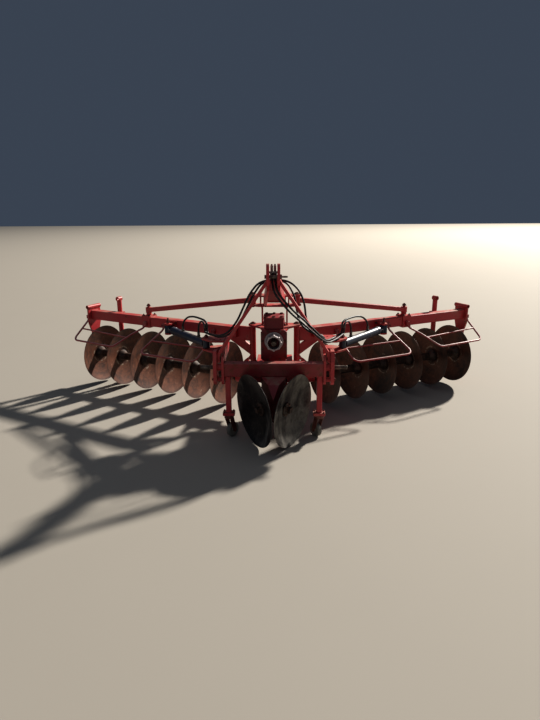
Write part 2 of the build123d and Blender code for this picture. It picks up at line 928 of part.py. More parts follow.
for (first, last), middles in zip(hose_ends, hose_middles):
    raised = [(x, y, clevis_top + share * hose_rise) for x, y, share in middles]
    hose_points = [Vector(x, back(y), z) for x, y, z in (first, *raised, last)]
    hose_runs.append(flowing_hose(hose_points, hose_radius))
with BuildPart() as hoses:
    for run in hose_runs:
        add(run)
write_piece("hoses", hoses.part)


def dish(rim_centre, direction, hole):
    """Dished disc whose rim lies at a point and whose back bulges along a direction."""
    centre = -sqrt(dish_radius**2 - disc_radius**2)
    outside = dish_radius + disc_thickness

    def hollow(radius):
        return centre + sqrt(dish_radius**2 - radius**2)

    def bulge(radius):
        return centre + sqrt(outside**2 - radius**2)

    middle = (disc_flat_radius + disc_edge_radius) / 2
    with BuildPart() as disc:
        with BuildSketch(turning_plane(rim_centre, direction)):
            with BuildLine():
                Line((hole, hollow(disc_flat_radius)), (disc_flat_radius, hollow(disc_flat_radius)))
                ThreePointArc(
                    (disc_flat_radius, hollow(disc_flat_radius)), (middle, hollow(middle)), (disc_radius, 0)
                )
                Polyline(
                    (disc_radius, 0),
                    (disc_radius, disc_edge_land),
                    (disc_edge_radius, bulge(disc_edge_radius)),
                )
                ThreePointArc(
                    (disc_edge_radius, bulge(disc_edge_radius)),
                    (middle, bulge(middle)),
                    (disc_flat_radius, bulge(disc_flat_radius)),
                )
                Line((disc_flat_radius, bulge(disc_flat_radius)), (hole, bulge(disc_flat_radius)))
                Line((hole, bulge(disc_flat_radius)), (hole, hollow(disc_flat_radius)))
            make_face()
        revolve(axis=Axis(rim_centre, direction))
    return disc.part


dish_centre = -sqrt(dish_radius**2 - disc_radius**2)
flat_front = dish_centre + sqrt(dish_radius**2 - disc_flat_radius**2)
flat_back = dish_centre + sqrt((dish_radius + disc_thickness) ** 2 - disc_flat_radius**2)

# Middle discs and their hubs
write_pair("middle_disc", dish(mid_rim, spindle * -1, mid_core_radius + seat))
hub_back = mid_rim_reach - flat_back
hub_front = mid_rim_reach - flat_front
with BuildPart() as middle_hub:
    with BuildSketch(turning_plane(spindle_root, spindle)):
        with BuildLine():
            Polyline(
                (0, 33),
                (mid_shaft_radius, 33),
                (mid_shaft_radius, hub_reach),
                (50, hub_reach),
                (spool_end_radius, hub_reach + 4),
                (spool_end_radius, hub_back),
                (mid_core_radius, hub_back),
                (mid_core_radius, hub_front),
                (48, hub_front),
                (48, hub_front + 8),
                (30, hub_front + 14),
                (0, hub_front + 14),
                close=True,
            )
        make_face()
    revolve(axis=Axis(spindle_root, spindle))
    with BuildSketch(Plane(origin=spindle_root + spindle * (hub_front + 14), x_dir=up, z_dir=spindle)):
        Rectangle(34, 34)
    extrude(amount=26)
write_pair("middle_hub", middle_hub.part)

# Discs of a gang
rim_places = [first_rim + disc_spacing * index for index in range(disc_count)]
gang_dishes = [dish(wing_point(place, 0, gang_height), along, core_radius + seat) for place in rim_places]
with BuildPart() as gang_discs:
    for gang_dish in gang_dishes:
        add(gang_dish)
write_pair("gang_discs", gang_discs.part)

# Shaft of a gang, with the spools that hold the discs apart
gang_origin = wing_point(0, 0, gang_height)
gang_axis = Axis(gang_origin, along)
with BuildPart() as gang_shaft:
    with BuildSketch(wing_section(bearing_start + seat)):
        with Locations((0, gang_height)):
            Circle(core_radius)
    extrude(amount=outer_bearing_end - bearing_start - 2)
    spool_starts = [bearing_end + moving_gap] + [place + flat_back for place in rim_places[:-1]]
    spool_ends = [place + flat_front for place in rim_places]
    for start, end in zip(spool_starts, spool_ends):
        with BuildSketch(turning_plane(gang_origin, along)):
            with BuildLine():
                Polyline(
                    (core_radius - 4, start),
                    (spool_end_radius, start),
                    (spool_end_radius, start + spool_rim_width),
                    (spool_waist_radius, start + spool_rim_width + spool_flare),
                    (spool_waist_radius, end - spool_rim_width - spool_flare),
                    (spool_end_radius, end - spool_rim_width),
                    (spool_end_radius, end),
                    (core_radius - 4, end),
                    close=True,
                )
            make_face()
        revolve(axis=gang_axis)
    with BuildSketch(wing_section(rim_places[-1] + flat_back)):
        with Locations((0, gang_height)):
            Circle(46)
    extrude(amount=4.5)
write_pair("gang_shaft", gang_shaft.part)

# Beam of a wing, with the cylinder's bracket and the stay bar's clamp welded on
beam_half = beam_width / 2
beam_bottom = beam_top - beam_width
bracket_front = beam_half + 8
with BuildPart() as beam:
    with BuildSketch(wing_section(beam_start)):
        with Locations((0, beam_top - beam_half)):
            RectangleRounded(beam_width, beam_width, 8)
    extrude(amount=beam_end - beam_start)
    with BuildSketch(wing_side(-beam_half)):
        with Locations((outer_pin_place, (clevis_low + clevis_top) / 2 + 8)):
            Rectangle(104, clevis_top - clevis_low + 16)
    extrude(amount=bracket_front - beam_half)
    for floor in (clevis_low, clevis_high):
        with BuildSketch(wing_level(floor)):
            with Locations((outer_pin_place, -outer_pin_ahead)):
                Circle(30)
            with Locations((outer_pin_place, -(outer_pin_ahead + bracket_front) / 2)):
                Rectangle(60, outer_pin_ahead - bracket_front)
        extrude(amount=clevis_thickness)
    with BuildSketch(wing_level(clevis_low)):
        with Locations((outer_pin_place, -outer_pin_ahead)):
            Circle(cylinder_pin_radius)
    extrude(amount=clevis_top - clevis_low + 8)
    with BuildSketch(wing_section(stay_pin_place - 42)):
        with Locations((0, beam_top - beam_half)):
            Rectangle(beam_width + 16, beam_width + 20)
    extrude(amount=84)
    with BuildSketch(wing_level(beam_top)):
        with Locations((stay_pin_place, 0)):
            Circle(22)
    extrude(amount=stay_outer_height - outer_eye_height / 2 - beam_top)
    with BuildSketch(wing_level(beam_top)):
        with Locations((stay_pin_place, 0)):
            Circle(stay_pin_radius)
    extrude(amount=stay_outer_height + outer_eye_height / 2 + 12 - beam_top)
write_pair("beam", beam.part)

# Hinge bracket of a wing: tube, pierced web and the bell with the gang's inner bearing
with BuildPart() as wing_bracket:
    with BuildSketch(wing_side(web_thickness / 2)):
        with BuildLine():
            Polyline(
                (15, hinge_tube_top - 5),
                (beam_start, hinge_tube_top - 8),
                (beam_start, beam_bottom),
                (262, beam_bottom),
                (22, 468),
                (38, 446),
                (68, 424),
                (138, 352),
                (138, 320),
                (96, 320),
                (44, 400),
                (44, 424),
                (15, 424),
                close=True,
            )
        make_face()
        with BuildLine():
            Polyline((26, 544), (26, 577), (78, 577), close=True)
        make_face(mode=Mode.SUBTRACT)
    extrude(amount=web_thickness)
    with BuildSketch(wing_level(hinge_tube_bottom)):
        Circle(hinge_tube_radius)
    extrude(amount=hinge_tube_top - hinge_tube_bottom)
    with BuildSketch(wing_level(hinge_tube_bottom)):
        Circle(hinge_pin_radius + fit)
    extrude(amount=hinge_tube_top - hinge_tube_bottom, mode=Mode.SUBTRACT)
    with BuildSketch(turning_plane(gang_origin, along)):
        lip = -8.0
        shoulder = sqrt(bell_outer_radius**2 - bearing_radius**2)
        with BuildLine():
            Polyline(
                (bearing_radius, shoulder),
                (bearing_radius, bearing_end),
                (core_radius + fit, bearing_end),
                (core_radius + fit, bearing_start),
                (0, bearing_start),
                (0, bell_inner_radius),
            )
            ThreePointArc(
                (0, bell_inner_radius),
                (bell_inner_radius * cos(radians(40)), bell_inner_radius * sin(radians(40))),
                (sqrt(bell_inner_radius**2 - lip**2), lip),
            )
            Line((sqrt(bell_inner_radius**2 - lip**2), lip), (sqrt(bell_outer_radius**2 - lip**2), lip))
            ThreePointArc(
                (sqrt(bell_outer_radius**2 - lip**2), lip),
                (bell_outer_radius * cos(radians(8)), bell_outer_radius * sin(radians(8))),
                (bearing_radius, shoulder),
            )
        make_face()
    revolve(axis=gang_axis)
write_pair("wing_bracket", wing_bracket.part)

# Outer end plate of a wing with the gang's outer bearing and a short pipe on top
with BuildPart() as end_plate:
    with BuildSketch(wing_section(beam_end)):
        with BuildLine():
            Polyline(
                (-outer_plate_half_width, outer_plate_top),
                (outer_plate_half_width, outer_plate_top),
                (outer_plate_half_width, 592),
                (38, 482),
                (38, gang_height),
                (-38, gang_height),
                (-44, 482),
                (-outer_plate_half_width, 566),
                close=True,
            )
        make_face()
    extrude(amount=outer_plate_thickness)
    with BuildSketch(wing_section(outer_bearing_start)):
        with Locations((0, gang_height)):
            Circle(bearing_radius)
    extrude(amount=outer_bearing_end - outer_bearing_start)
    with BuildSketch(wing_section(outer_bearing_start)):
        with Locations((0, gang_height)):
            Circle(core_radius + fit)
    extrude(amount=outer_bearing_end - outer_bearing_start, mode=Mode.SUBTRACT)
    pipe_centre = (beam_end + outer_plate_thickness / 2, outer_plate_top + outer_pipe_radius - 3)
    with BuildSketch(wing_side(76)):
        with Locations(pipe_centre):
            Circle(outer_pipe_radius)
    extrude(amount=152)
    with BuildSketch(wing_side(76)):
        with Locations(pipe_centre):
            Circle(outer_pipe_radius - 5)
    extrude(amount=152, mode=Mode.SUBTRACT)
write_pair("end_plate", end_plate.part)

# Stay bar from the mast's rear bracket out to the beam
stay_inner = wing_point(0, 0, stay_inner_height)
stay_outer = wing_point(stay_pin_place, 0, stay_outer_height)
stay_way = (stay_outer - stay_inner).normalized()
stay_length = (stay_outer - stay_inner).length
with BuildPart() as stay_bar:
    with BuildSketch(Plane(origin=stay_inner + stay_way * 18, x_dir=behind, z_dir=stay_way)):
        RectangleRounded(stay_width, stay_width, 5)
    extrude(amount=stay_length - 34)
    with BuildSketch(wing_level(stay_inner_height - inner_eye_height / 2)):
        Circle(stay_eye_radius)
        Circle(hinge_pin_radius + fit, mode=Mode.SUBTRACT)
    extrude(amount=inner_eye_height)
    with BuildSketch(wing_level(stay_outer_height - outer_eye_height / 2)):
        with Locations((stay_pin_place, 0)):
            Circle(stay_eye_radius)
    extrude(amount=outer_eye_height)
    with BuildSketch(wing_level(stay_outer_height - outer_eye_height / 2)):
        with Locations((stay_pin_place, 0)):
            Circle(stay_pin_radius + seat)
    extrude(amount=outer_eye_height, mode=Mode.SUBTRACT)
write_pair("stay_bar", stay_bar.part)

# Rear support post in its clamp behind the beam, with an open pipe across its top
with BuildPart() as rear_post:
    with BuildSketch(wing_level(post_bottom)):
        with Locations((post_place, post_behind)):
            Circle(post_radius)
    extrude(amount=post_top - post_bottom)
    with BuildSketch(wing_level(clamp_bottom)):
        with Locations((post_place, (beam_half + post_behind + 30) / 2)):
            Rectangle(60, post_behind + 30 - beam_half)
    extrude(amount=beam_top - 8 - clamp_bottom)
    with BuildSketch(wing_side(post_behind + post_head_length / 2)):
        with Locations((post_place, post_top)):
            Circle(post_head_radius)
    extrude(amount=post_head_length)
    with BuildSketch(wing_side(post_behind + post_head_length / 2)):
        with Locations((post_place, post_top)):
            Circle(post_head_radius - 6)
    extrude(amount=post_head_length, mode=Mode.SUBTRACT)
    with BuildSketch(wing_level(post_bottom)):
        with Locations((post_place, post_behind)):
            Circle(stem_radius + fit)
    extrude(amount=stem_length + seat, mode=Mode.SUBTRACT)
write_pair("rear_post", rear_post.part)

# Guard rails of bent round bar in front of the discs, clamped to the beam
rail_face = -beam_half - rail_radius - clamp_wall
side_rail_place = beam_end + outer_plate_thickness + rail_radius + clamp_wall
rail_bend = 52.0
# Columns of the loops: along the gang, behind the beam's middle, height
inner_loop = (
    (335, rail_face, clamp_top + 6),
    (335, rail_face, 598),
    (323, -334, 449),
    (877, -334, 449),
    (835, rail_face, 598),
    (835, rail_face, clamp_top + 6),
)
outer_loop = (
    (stay_pin_place, rail_face - 8, clamp_top + 6),
    (stay_pin_place, rail_face - 8, 598),
    (1105, -150, 545),
    (1199, -294, 457),
    (side_rail_place, -250, 452),
    (side_rail_place, -52, 598),
    (side_rail_place, -52, clamp_top),
)


def on_run(first, second, share):
    """Point of the right wing at a share of the way from one point of a loop to the next."""
    return wing_point(*first) * (1 - share) + wing_point(*second) * share


inner_middle_bar = [on_run(inner_loop[1], inner_loop[2], 0.5), on_run(inner_loop[4], inner_loop[3], 0.5)]
outer_middle_bar = [
    on_run(outer_loop[2], outer_loop[3], 0.28),
    wing_point(1400, -166, 526),
    on_run(outer_loop[4], outer_loop[5], 0.55),
]
inner_clamps = (335, 835)
inner_bars = [
    bent_bar([wing_point(*point) for point in inner_loop], rail_radius, rail_bend),
    straight_bar(inner_middle_bar[0], inner_middle_bar[1], middle_rail_radius),
]
outer_bars = [
    bent_bar([wing_point(*point) for point in outer_loop], rail_radius, rail_bend),
    bent_bar(outer_middle_bar, middle_rail_radius, rail_bend),
]
with BuildPart() as inner_guard:
    for bar in inner_bars:
        add(bar)
    for place in inner_clamps:
        with BuildSketch(wing_side(-beam_half)):
            with Locations((place, (clamp_bottom + clamp_top) / 2)):
                Rectangle(2 * clamp_half_width, clamp_top - clamp_bottom)
        extrude(amount=2 * (rail_radius + clamp_wall))
write_pair("inner_guard", inner_guard.part)

with BuildPart() as outer_guard:
    for bar in outer_bars:
        add(bar)
    with BuildSketch(wing_side(-beam_half - 8)):
        with Locations((stay_pin_place, (clamp_bottom + clamp_top) / 2)):
            Rectangle(2 * clamp_half_width, clamp_top - clamp_bottom)
    extrude(amount=2 * (rail_radius + clamp_wall))
    with BuildSketch(wing_section(beam_end + outer_plate_thickness)):
        with Locations((-52, (clamp_bottom + clamp_top) / 2)):
            Rectangle(2 * clamp_half_width, clamp_top - clamp_bottom)
    extrude(amount=2 * (rail_radius + clamp_wall))
write_pair("outer_guard", outer_guard.part)

# Cylinder of a wing, its rod and the hoses on its barrel
base_point = Vector(inner_pin_x, back(inner_pin_back), cylinder_height)
rod_point = wing_point(outer_pin_place, -outer_pin_ahead, cylinder_height)
cylinder_way = (rod_point - base_point).normalized()
closed_length = (rod_point - base_point).length
barrel_end = closed_length - dead_length
half_eye = eye_height / 2
with BuildPart() as barrel:
    with BuildSketch(turning_plane(base_point, cylinder_way)):
        with BuildLine():
            Polyline(
                (0, 18),
                (cylinder_radius, 18),
                (cylinder_radius, barrel_end - 34),
                (gland_radius, barrel_end - 30),
                (gland_radius, barrel_end),
                (rod_radius + fit, barrel_end),
                (rod_radius + fit, 60),
                (0, 60),
                close=True,
            )
        make_face()
    revolve(axis=Axis(base_point, cylinder_way))
    with BuildSketch(Plane(origin=base_point - up * half_eye)):
        Circle(base_eye_radius)
    extrude(amount=eye_height)
    with BuildSketch(Plane(origin=base_point - up * half_eye)):
        Circle(cylinder_pin_radius + fit)
    extrude(amount=eye_height, mode=Mode.SUBTRACT)
write_pair("cylinder_barrel", barrel.part)

with BuildPart() as rod:
    with BuildSketch(Plane(origin=base_point + cylinder_way * 70, z_dir=cylinder_way)):
        Circle(rod_radius)
    extrude(amount=closed_length - 70 - 24)
    with BuildSketch(Plane(origin=rod_point - up * half_eye)):
        Circle(rod_eye_radius)
    extrude(amount=eye_height)
    with BuildSketch(Plane(origin=rod_point - up * half_eye)):
        Circle(rod_eye_bore)
    extrude(amount=eye_height, mode=Mode.SUBTRACT)
write_pair("cylinder_rod", rod.part)

barrel_side = up.cross(cylinder_way)


def barrel_point(distance, side, z):
    """Point over the right cylinder: along its barrel, beside it and above the ground."""
    return Vector(base_point.X, base_point.Y, z) + cylinder_way * distance + barrel_side * side


hose_foot = cylinder_height + cylinder_radius + seat
hose_head = swivel_height + seat
long_hose = (
    (0, 9, hose_head),
    (0, 9, hose_head + 22),
    (36, 9, hose_head + 38),
    (110, 8, hose_head + 42),
    (196, 7, hose_head + 40),
    (276, 5, hose_head + 24),
    (334, 2, hose_head - 12),
    (360, 0, hose_head - 50),
    (360, 0, hose_foot),
)
short_hose = (
    (0, -9, hose_head),
    (0, -9, hose_head + 14),
    (28, -8, hose_head + 30),
    (72, -4, hose_head + 22),
    (104, -1, hose_head - 14),
    (112, 0, hose_head - 50),
    (112, 0, hose_foot),
)
barrel_runs = []
for hose_path in (long_hose, short_hose):
    hose_points = [barrel_point(*point) for point in hose_path]
    barrel_runs.append(flowing_hose(hose_points, hose_radius))
with BuildPart() as barrel_hoses:
    for run in barrel_runs:
        add(run)
write_pair("barrel_hoses", barrel_hoses.part)
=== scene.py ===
"""Paint, fasteners, welds, hose fittings and studio for a mounted disc plough.

Laid out as an add-on and run as a script around the solids of the frame.
"""

import math

import bpy
import bmesh
from mathutils import Matrix, Vector


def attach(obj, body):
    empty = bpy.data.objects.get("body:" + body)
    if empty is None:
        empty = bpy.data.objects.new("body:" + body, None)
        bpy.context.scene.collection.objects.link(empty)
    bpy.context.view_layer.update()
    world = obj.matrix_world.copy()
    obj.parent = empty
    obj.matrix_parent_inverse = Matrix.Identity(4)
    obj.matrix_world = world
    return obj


bl_info = {
    "name": "Disc plough finish",
    "version": (1, 0, 0),
    "blender": (4, 5, 0),
    "location": "3D View > Sidebar > Plough",
    "description": "Weathered paint, fasteners, welds, hose fittings and studio",
    "category": "Object",
}

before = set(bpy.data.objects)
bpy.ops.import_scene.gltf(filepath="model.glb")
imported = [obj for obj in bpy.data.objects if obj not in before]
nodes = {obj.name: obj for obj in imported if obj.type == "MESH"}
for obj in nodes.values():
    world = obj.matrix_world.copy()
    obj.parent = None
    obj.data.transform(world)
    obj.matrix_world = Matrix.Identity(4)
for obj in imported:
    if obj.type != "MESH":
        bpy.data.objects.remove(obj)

SIDES = (("right", 1), ("left", -1))
UP = Vector((0, 0, 1))

# Where the lower link pins stand, in metres
HITCH_Y = -0.544

# Wings: ways along and behind the right gang, and the right wing's hinge
SWEEP = math.radians(27)
ALONG = Vector((math.cos(SWEEP), math.sin(SWEEP), 0))
BEHIND = Vector((-math.sin(SWEEP), math.cos(SWEEP), 0))
HINGE = Vector((0.168, HITCH_Y + 0.517, 0))

# Middle discs: way of the right spindle, the centre of its disc's rim and its root
SPINDLE_TURN = math.radians(60)
SPINDLE_DROOP = math.radians(4)
SPINDLE = Vector((
    math.sin(SPINDLE_TURN) * math.cos(SPINDLE_DROOP),
    -math.cos(SPINDLE_TURN) * math.cos(SPINDLE_DROOP),
    -math.sin(SPINDLE_DROOP),
))
MIDDLE_RIM = Vector((0.135, HITCH_Y - 0.157, 0.258))
MIDDLE_REACH = MIDDLE_RIM.x / SPINDLE.x
SPINDLE_ROOT = MIDDLE_RIM - SPINDLE * MIDDLE_REACH

# Discs: radius of the sphere that they are cut from, and of their rims
DISH_RADIUS = 0.560
DISC_RADIUS = 0.254

# Gangs, in millimetres: height, and how far out the outer bearing and the shaft's end lie
GANG_HEIGHT = 284
BEARING_FACE = 1699
SHAFT_END = 1697.3


def head_point(x, back, z):
    """Point of the headstock in millimetres: to the right, behind the pins and up."""
    return Vector((x / 1000, HITCH_Y + back / 1000, z / 1000))


def wing_point(u, v, z):
    """Point of the right wing in millimetres: along its gang, behind it and up."""
    return HINGE + ALONG * (u / 1000) + BEHIND * (v / 1000) + UP * (z / 1000)


def mirrored(vector, side):
    """A vector of the right side, or its mirror image on the left."""
    return Vector((vector.x * side, vector.y, vector.z))


# Right cylinder: height, base pin, way to the rod's pin and the way beside it
CYLINDER_HEIGHT = 0.615
CYLINDER_BASE = head_point(500, 290, 0)
CYLINDER_WAY = (wing_point(755, -92, 0) - CYLINDER_BASE).normalized()
CYLINDER_SIDE = UP.cross(CYLINDER_WAY)


# Shader maths


class Signal:
    """A socket that adds its Math nodes when it is used in an expression."""

    def __init__(self, graph, socket):
        self.graph = graph
        self.socket = socket

    def _math(self, operation, first, second=None, clamp=False):
        settings = {"operation": operation, "use_clamp": clamp}
        values = {0: first} if second is None else {0: first, 1: second}
        return self.graph.node("ShaderNodeMath", settings, values)

    def __add__(self, other):
        return self._math("ADD", self, other)

    __radd__ = __add__

    def __sub__(self, other):
        return self._math("SUBTRACT", self, other)

    def __rsub__(self, other):
        return self._math("SUBTRACT", other, self)

    def __mul__(self, other):
        return self._math("MULTIPLY", self, other)

    def clamped(self):
        return self._math("ADD", self, 0.0, clamp=True)

    def highest(self, other):
        return self._math("MAXIMUM", self, other)


class Graph:
    """Node tree of one material."""

    def __init__(self, name):
        self.material = bpy.data.materials.new(name)
        self.material.use_nodes = True
        self.tree = self.material.node_tree
        self.tree.nodes.clear()
        self.places = self.node("ShaderNodeTexCoord", {}, {}, "Object")
        self.facing = self.node("ShaderNodeNewGeometry", {}, {}, "Normal")

    def node(self, kind, settings, values, output=0):
        """Adds a node, sets it up, fills its sockets and gives back one of its outputs."""
        node = self.tree.nodes.new(kind)
        for key, value in settings.items():
            setattr(node, key, value)
        for key, value in values.items():
            socket = node.inputs[key]
            if isinstance(value, Signal):
                self.tree.links.new(value.socket, socket)
            else:
                socket.default_value = value
        return None if output is None else Signal(self, node.outputs[output])

    def noise(self, scale, detail, roughness=0.55, warp=0.0, vector=None):
        values = {
            "Vector": vector or self.places, "Scale": scale, "Detail": detail,
            "Roughness": roughness, "Distortion": warp,
        }
        return self.node("ShaderNodeTexNoise", {}, values, "Fac")

    def step(self, signal, low, high):
        """Smooth mask that rises from 0 to 1 between two levels."""
        values = {"Value": signal, "From Min": low, "From Max": high}
        return self.node("ShaderNodeMapRange", {"interpolation_type": "SMOOTHSTEP"}, values)

    def blend(self, factor, first, second):
        """Colour that goes from the first to the second."""
        settings = {"data_type": "RGBA"}
        values = {0: factor, 6: shade(first), 7: shade(second)}
        return self.node("ShaderNodeMix", settings, values, 2)

    def split(self, vector, axis):
        return self.node("ShaderNodeSeparateXYZ", {}, {0: vector}, axis)

    def vector(self, operation, first, second, output="Vector"):
        settings = {"operation": operation}
        return self.node("ShaderNodeVectorMath", settings, {0: first, 1: second}, output)

    def length(self, vector):
        settings = {"operation": "LENGTH"}
        return self.node("ShaderNodeVectorMath", settings, {0: vector}, "Value")

    def edges(self, radius):
        """Mask of the corners that a rounding of this radius would touch."""
        rounded = self.node("ShaderNodeBevel", {"samples": 3}, {"Radius": radius})
        return 1.0 - self.vector("DOT_PRODUCT", rounded, self.facing, "Value")

    def bump(self, height, strength, distance):
        values = {"Height": height, "Strength": strength, "Distance": distance}
        return self.node("ShaderNodeBump", {}, values)

    def finish(self, colour, roughness, metallic, normal=None):
        """Ends the tree with a surface and gives back its material."""
        values = {"Base Color": shade(colour), "Roughness": roughness, "Metallic": metallic}
        if normal is not None:
            values["Normal"] = normal
        surface = self.node("ShaderNodeBsdfPrincipled", {}, values)
        self.node("ShaderNodeOutputMaterial", {}, {0: surface}, None)
        return self.material


def shade(colour):
    """A colour socket's value: a link, or three numbers with full alpha."""
    if isinstance(colour, Signal):
        return colour
    return (*colour, 1.0)


def scaled(colour, factor):
    """A lighter or darker shade of a plain colour, of which no part passes 1."""
    return tuple(min(1.0, value * factor) for value in colour)


# Sizes and colours that a user would change


def colour_choice(name, description, default):
    return bpy.props.FloatVectorProperty(
        name=name, description=description, default=default,
        subtype="COLOR", size=3, min=0.0, max=1.0,
    )


def length_choice(name, description, default):
    return bpy.props.FloatProperty(
        name=name, description=description, default=default, min=0.0, unit="LENGTH"
    )


class PloughColours(bpy.types.PropertyGroup):
    """Colours of the plough's finishes."""

    red: colour_choice("Red", "Frame paint out of the sun", (0.48, 0.032, 0.042))
    # Paint on top faces: partly sun-faded, partly painted highlight
    bleached_and_lit: colour_choice("Bleached red", "Frame paint under the sky", (0.50, 0.112, 0.090))
    # Darker case paint: partly the cases' own paint, partly painted shade
    case_red_and_shade: colour_choice("Case red", "Darker paint of the drive cases", (0.17, 0.006, 0.014))
    rust: colour_choice("Rust", "Rust under chipped paint", (0.115, 0.040, 0.018))
    dust: colour_choice("Dust", "Dry soil on flat and low places", (0.33, 0.25, 0.19))
    disc: colour_choice("Disc steel", "Rusty faces of the discs", (0.150, 0.052, 0.026))
    disc_dark: colour_choice("Dark disc steel", "Stains on the discs", (0.022, 0.009, 0.007))
    mud: colour_choice("Dried mud", "Mud on the middle discs", (0.26, 0.24, 0.21))
    blackened: colour_choice("Blackened steel", "Oiled middle discs", (0.018, 0.018, 0.022))
    cast: colour_choice("Cast guard", "Grey of the power shaft's guard", (0.46, 0.41, 0.41))
    barrel: colour_choice("Cylinder", "Blue grey of the cylinders", (0.024, 0.032, 0.054))
    hose: colour_choice("Hose", "Rubber of the hoses", (0.012, 0.012, 0.014))
    tyre: colour_choice("Caster tyre", "Olive grey rubber of the casters", (0.19, 0.18, 0.155))
    zinc: colour_choice("Zinc", "Plated hose fittings", (0.12, 0.115, 0.105))


class FastenerSizes(bpy.types.PropertyGroup):
    """Sizes shared by the fasteners, welds and hose fittings."""

    washer: length_choice("Washer", "Thickness of a washer", 0.002)
    weld: length_choice("Weld", "Half width of a weld bead", 0.0035)
    pitch: length_choice("Weld ripple", "Length of one ripple of a weld", 0.0045)
    ferrule: length_choice("Ferrule", "Radius of a crimped hose end", 0.0102)


class StudioSettings(bpy.types.PropertyGroup):
    """Floor, lights and camera."""

    floor: colour_choice("Floor", "Pale floor", (0.385, 0.352, 0.305))
    key_power: bpy.props.FloatProperty(
        name="Key light", description="Strength of the main light", default=42000.0
    )
    fill_power: bpy.props.FloatProperty(
        name="Fill light", description="Strength of the front light", default=14.0
    )
    lens: bpy.props.FloatProperty(
        name="Lens", description="Focal length in millimetres", default=27.05
    )


# Finishes. The plain numbers in them are noise scales, mask levels and weights.

# Shades that belong to one finish each. Each paint's pale shade goes on its top faces, partly as
# sun-faded paint and partly as painted highlight
TUBE_FADED_AND_LIT = (0.40, 0.17, 0.15)
BAR_FADED_AND_LIT = (0.60, 0.36, 0.34)
CASE_FADED_AND_LIT = (0.36, 0.045, 0.055)
CASTER_RED = (0.11, 0.018, 0.014)
CASTER_FADED_AND_LIT = (0.20, 0.060, 0.042)
BARREL_FADED_AND_LIT = (0.040, 0.055, 0.092)
OILED_STEEL = (0.045, 0.040, 0.040)
SPOOL_DARK = (0.022, 0.015, 0.013)
SPOOL_LIGHT = (0.115, 0.070, 0.052)
PIN_DARK = (0.06, 0.045, 0.038)
PIN_LIGHT = (0.22, 0.18, 0.15)
BOLT_DARK = (0.060, 0.012, 0.012)
BOLT_LIGHT = (0.17, 0.040, 0.032)
WELD_DARK = (0.22, 0.022, 0.018)
WELD_LIGHT = (0.36, 0.06, 0.045)
ROD_CHROME = (0.34, 0.35, 0.37)
COUPLER_STEEL = (0.27, 0.26, 0.25)
GRIME = (0.05, 0.035, 0.028)
CAST_STAIN = (0.16, 0.13, 0.12)
CAST_WORN = (0.62, 0.60, 0.58)


def weathered_paint(name, colours, red, bleached_and_lit, wear):
    """Old brushed paint: pale on top, partly sun-faded and partly painted highlight, chipped to
    rust at its edges and dusty.
    """
    g = Graph(name)
    broad = g.noise(3.5, 3.0)
    patchy = g.noise(17.0, 6.0, 0.62, 0.4)
    fine = g.noise(160.0, 3.0)
    up = g.split(g.facing, 2)
    height = g.split(g.places, 2)
    # Top faces turn pale: partly sun-faded paint, partly painted highlight
    sky = g.step(up, -0.25, 0.9)
    fade_and_highlight = (sky * 0.62 + (broad - 0.50) + (patchy - 0.5) * 0.5).clamped()
    colour = g.blend(fade_and_highlight, red, bleached_and_lit)
    colour = g.blend(g.step(fine, 0.52, 0.75) * 0.30, colour, scaled(red, 0.55))
    corner = g.edges(0.004)
    chips = g.step(corner * 2.2 + (patchy - 0.5) * 1.5 + (fine - 0.5) * 0.5, 0.34, 0.46)
    spots = g.step(patchy * 0.75 + g.noise(48.0, 5.0, 0.7) * 0.45, 0.735 - wear * 0.05, 0.775)
    bare = chips.highest(spots)
    rust = g.blend(g.step(fine, 0.35, 0.65), colours.rust, scaled(colours.rust, 1.9))
    colour = g.blend(bare * 0.92, colour, rust)
    low = 1.0 - g.step(height, 0.12, 0.55)
    ledge = g.step(up, 0.55, 0.95)
    soil = g.step(broad * 0.5 + patchy * 0.6 + low * 0.10 + ledge * 0.14, 0.62, 0.90)
    colour = g.blend(soil * 0.72, colour, colours.dust)
    roughness = (0.42 + bare * 0.38 + soil * 0.35 + (fine - 0.5) * 0.16).clamped()
    relief = fine * 0.3 + patchy * 0.4 - bare * 0.5
    return g.finish(colour, roughness, 0.0, g.bump(relief, 0.35, 0.0012))


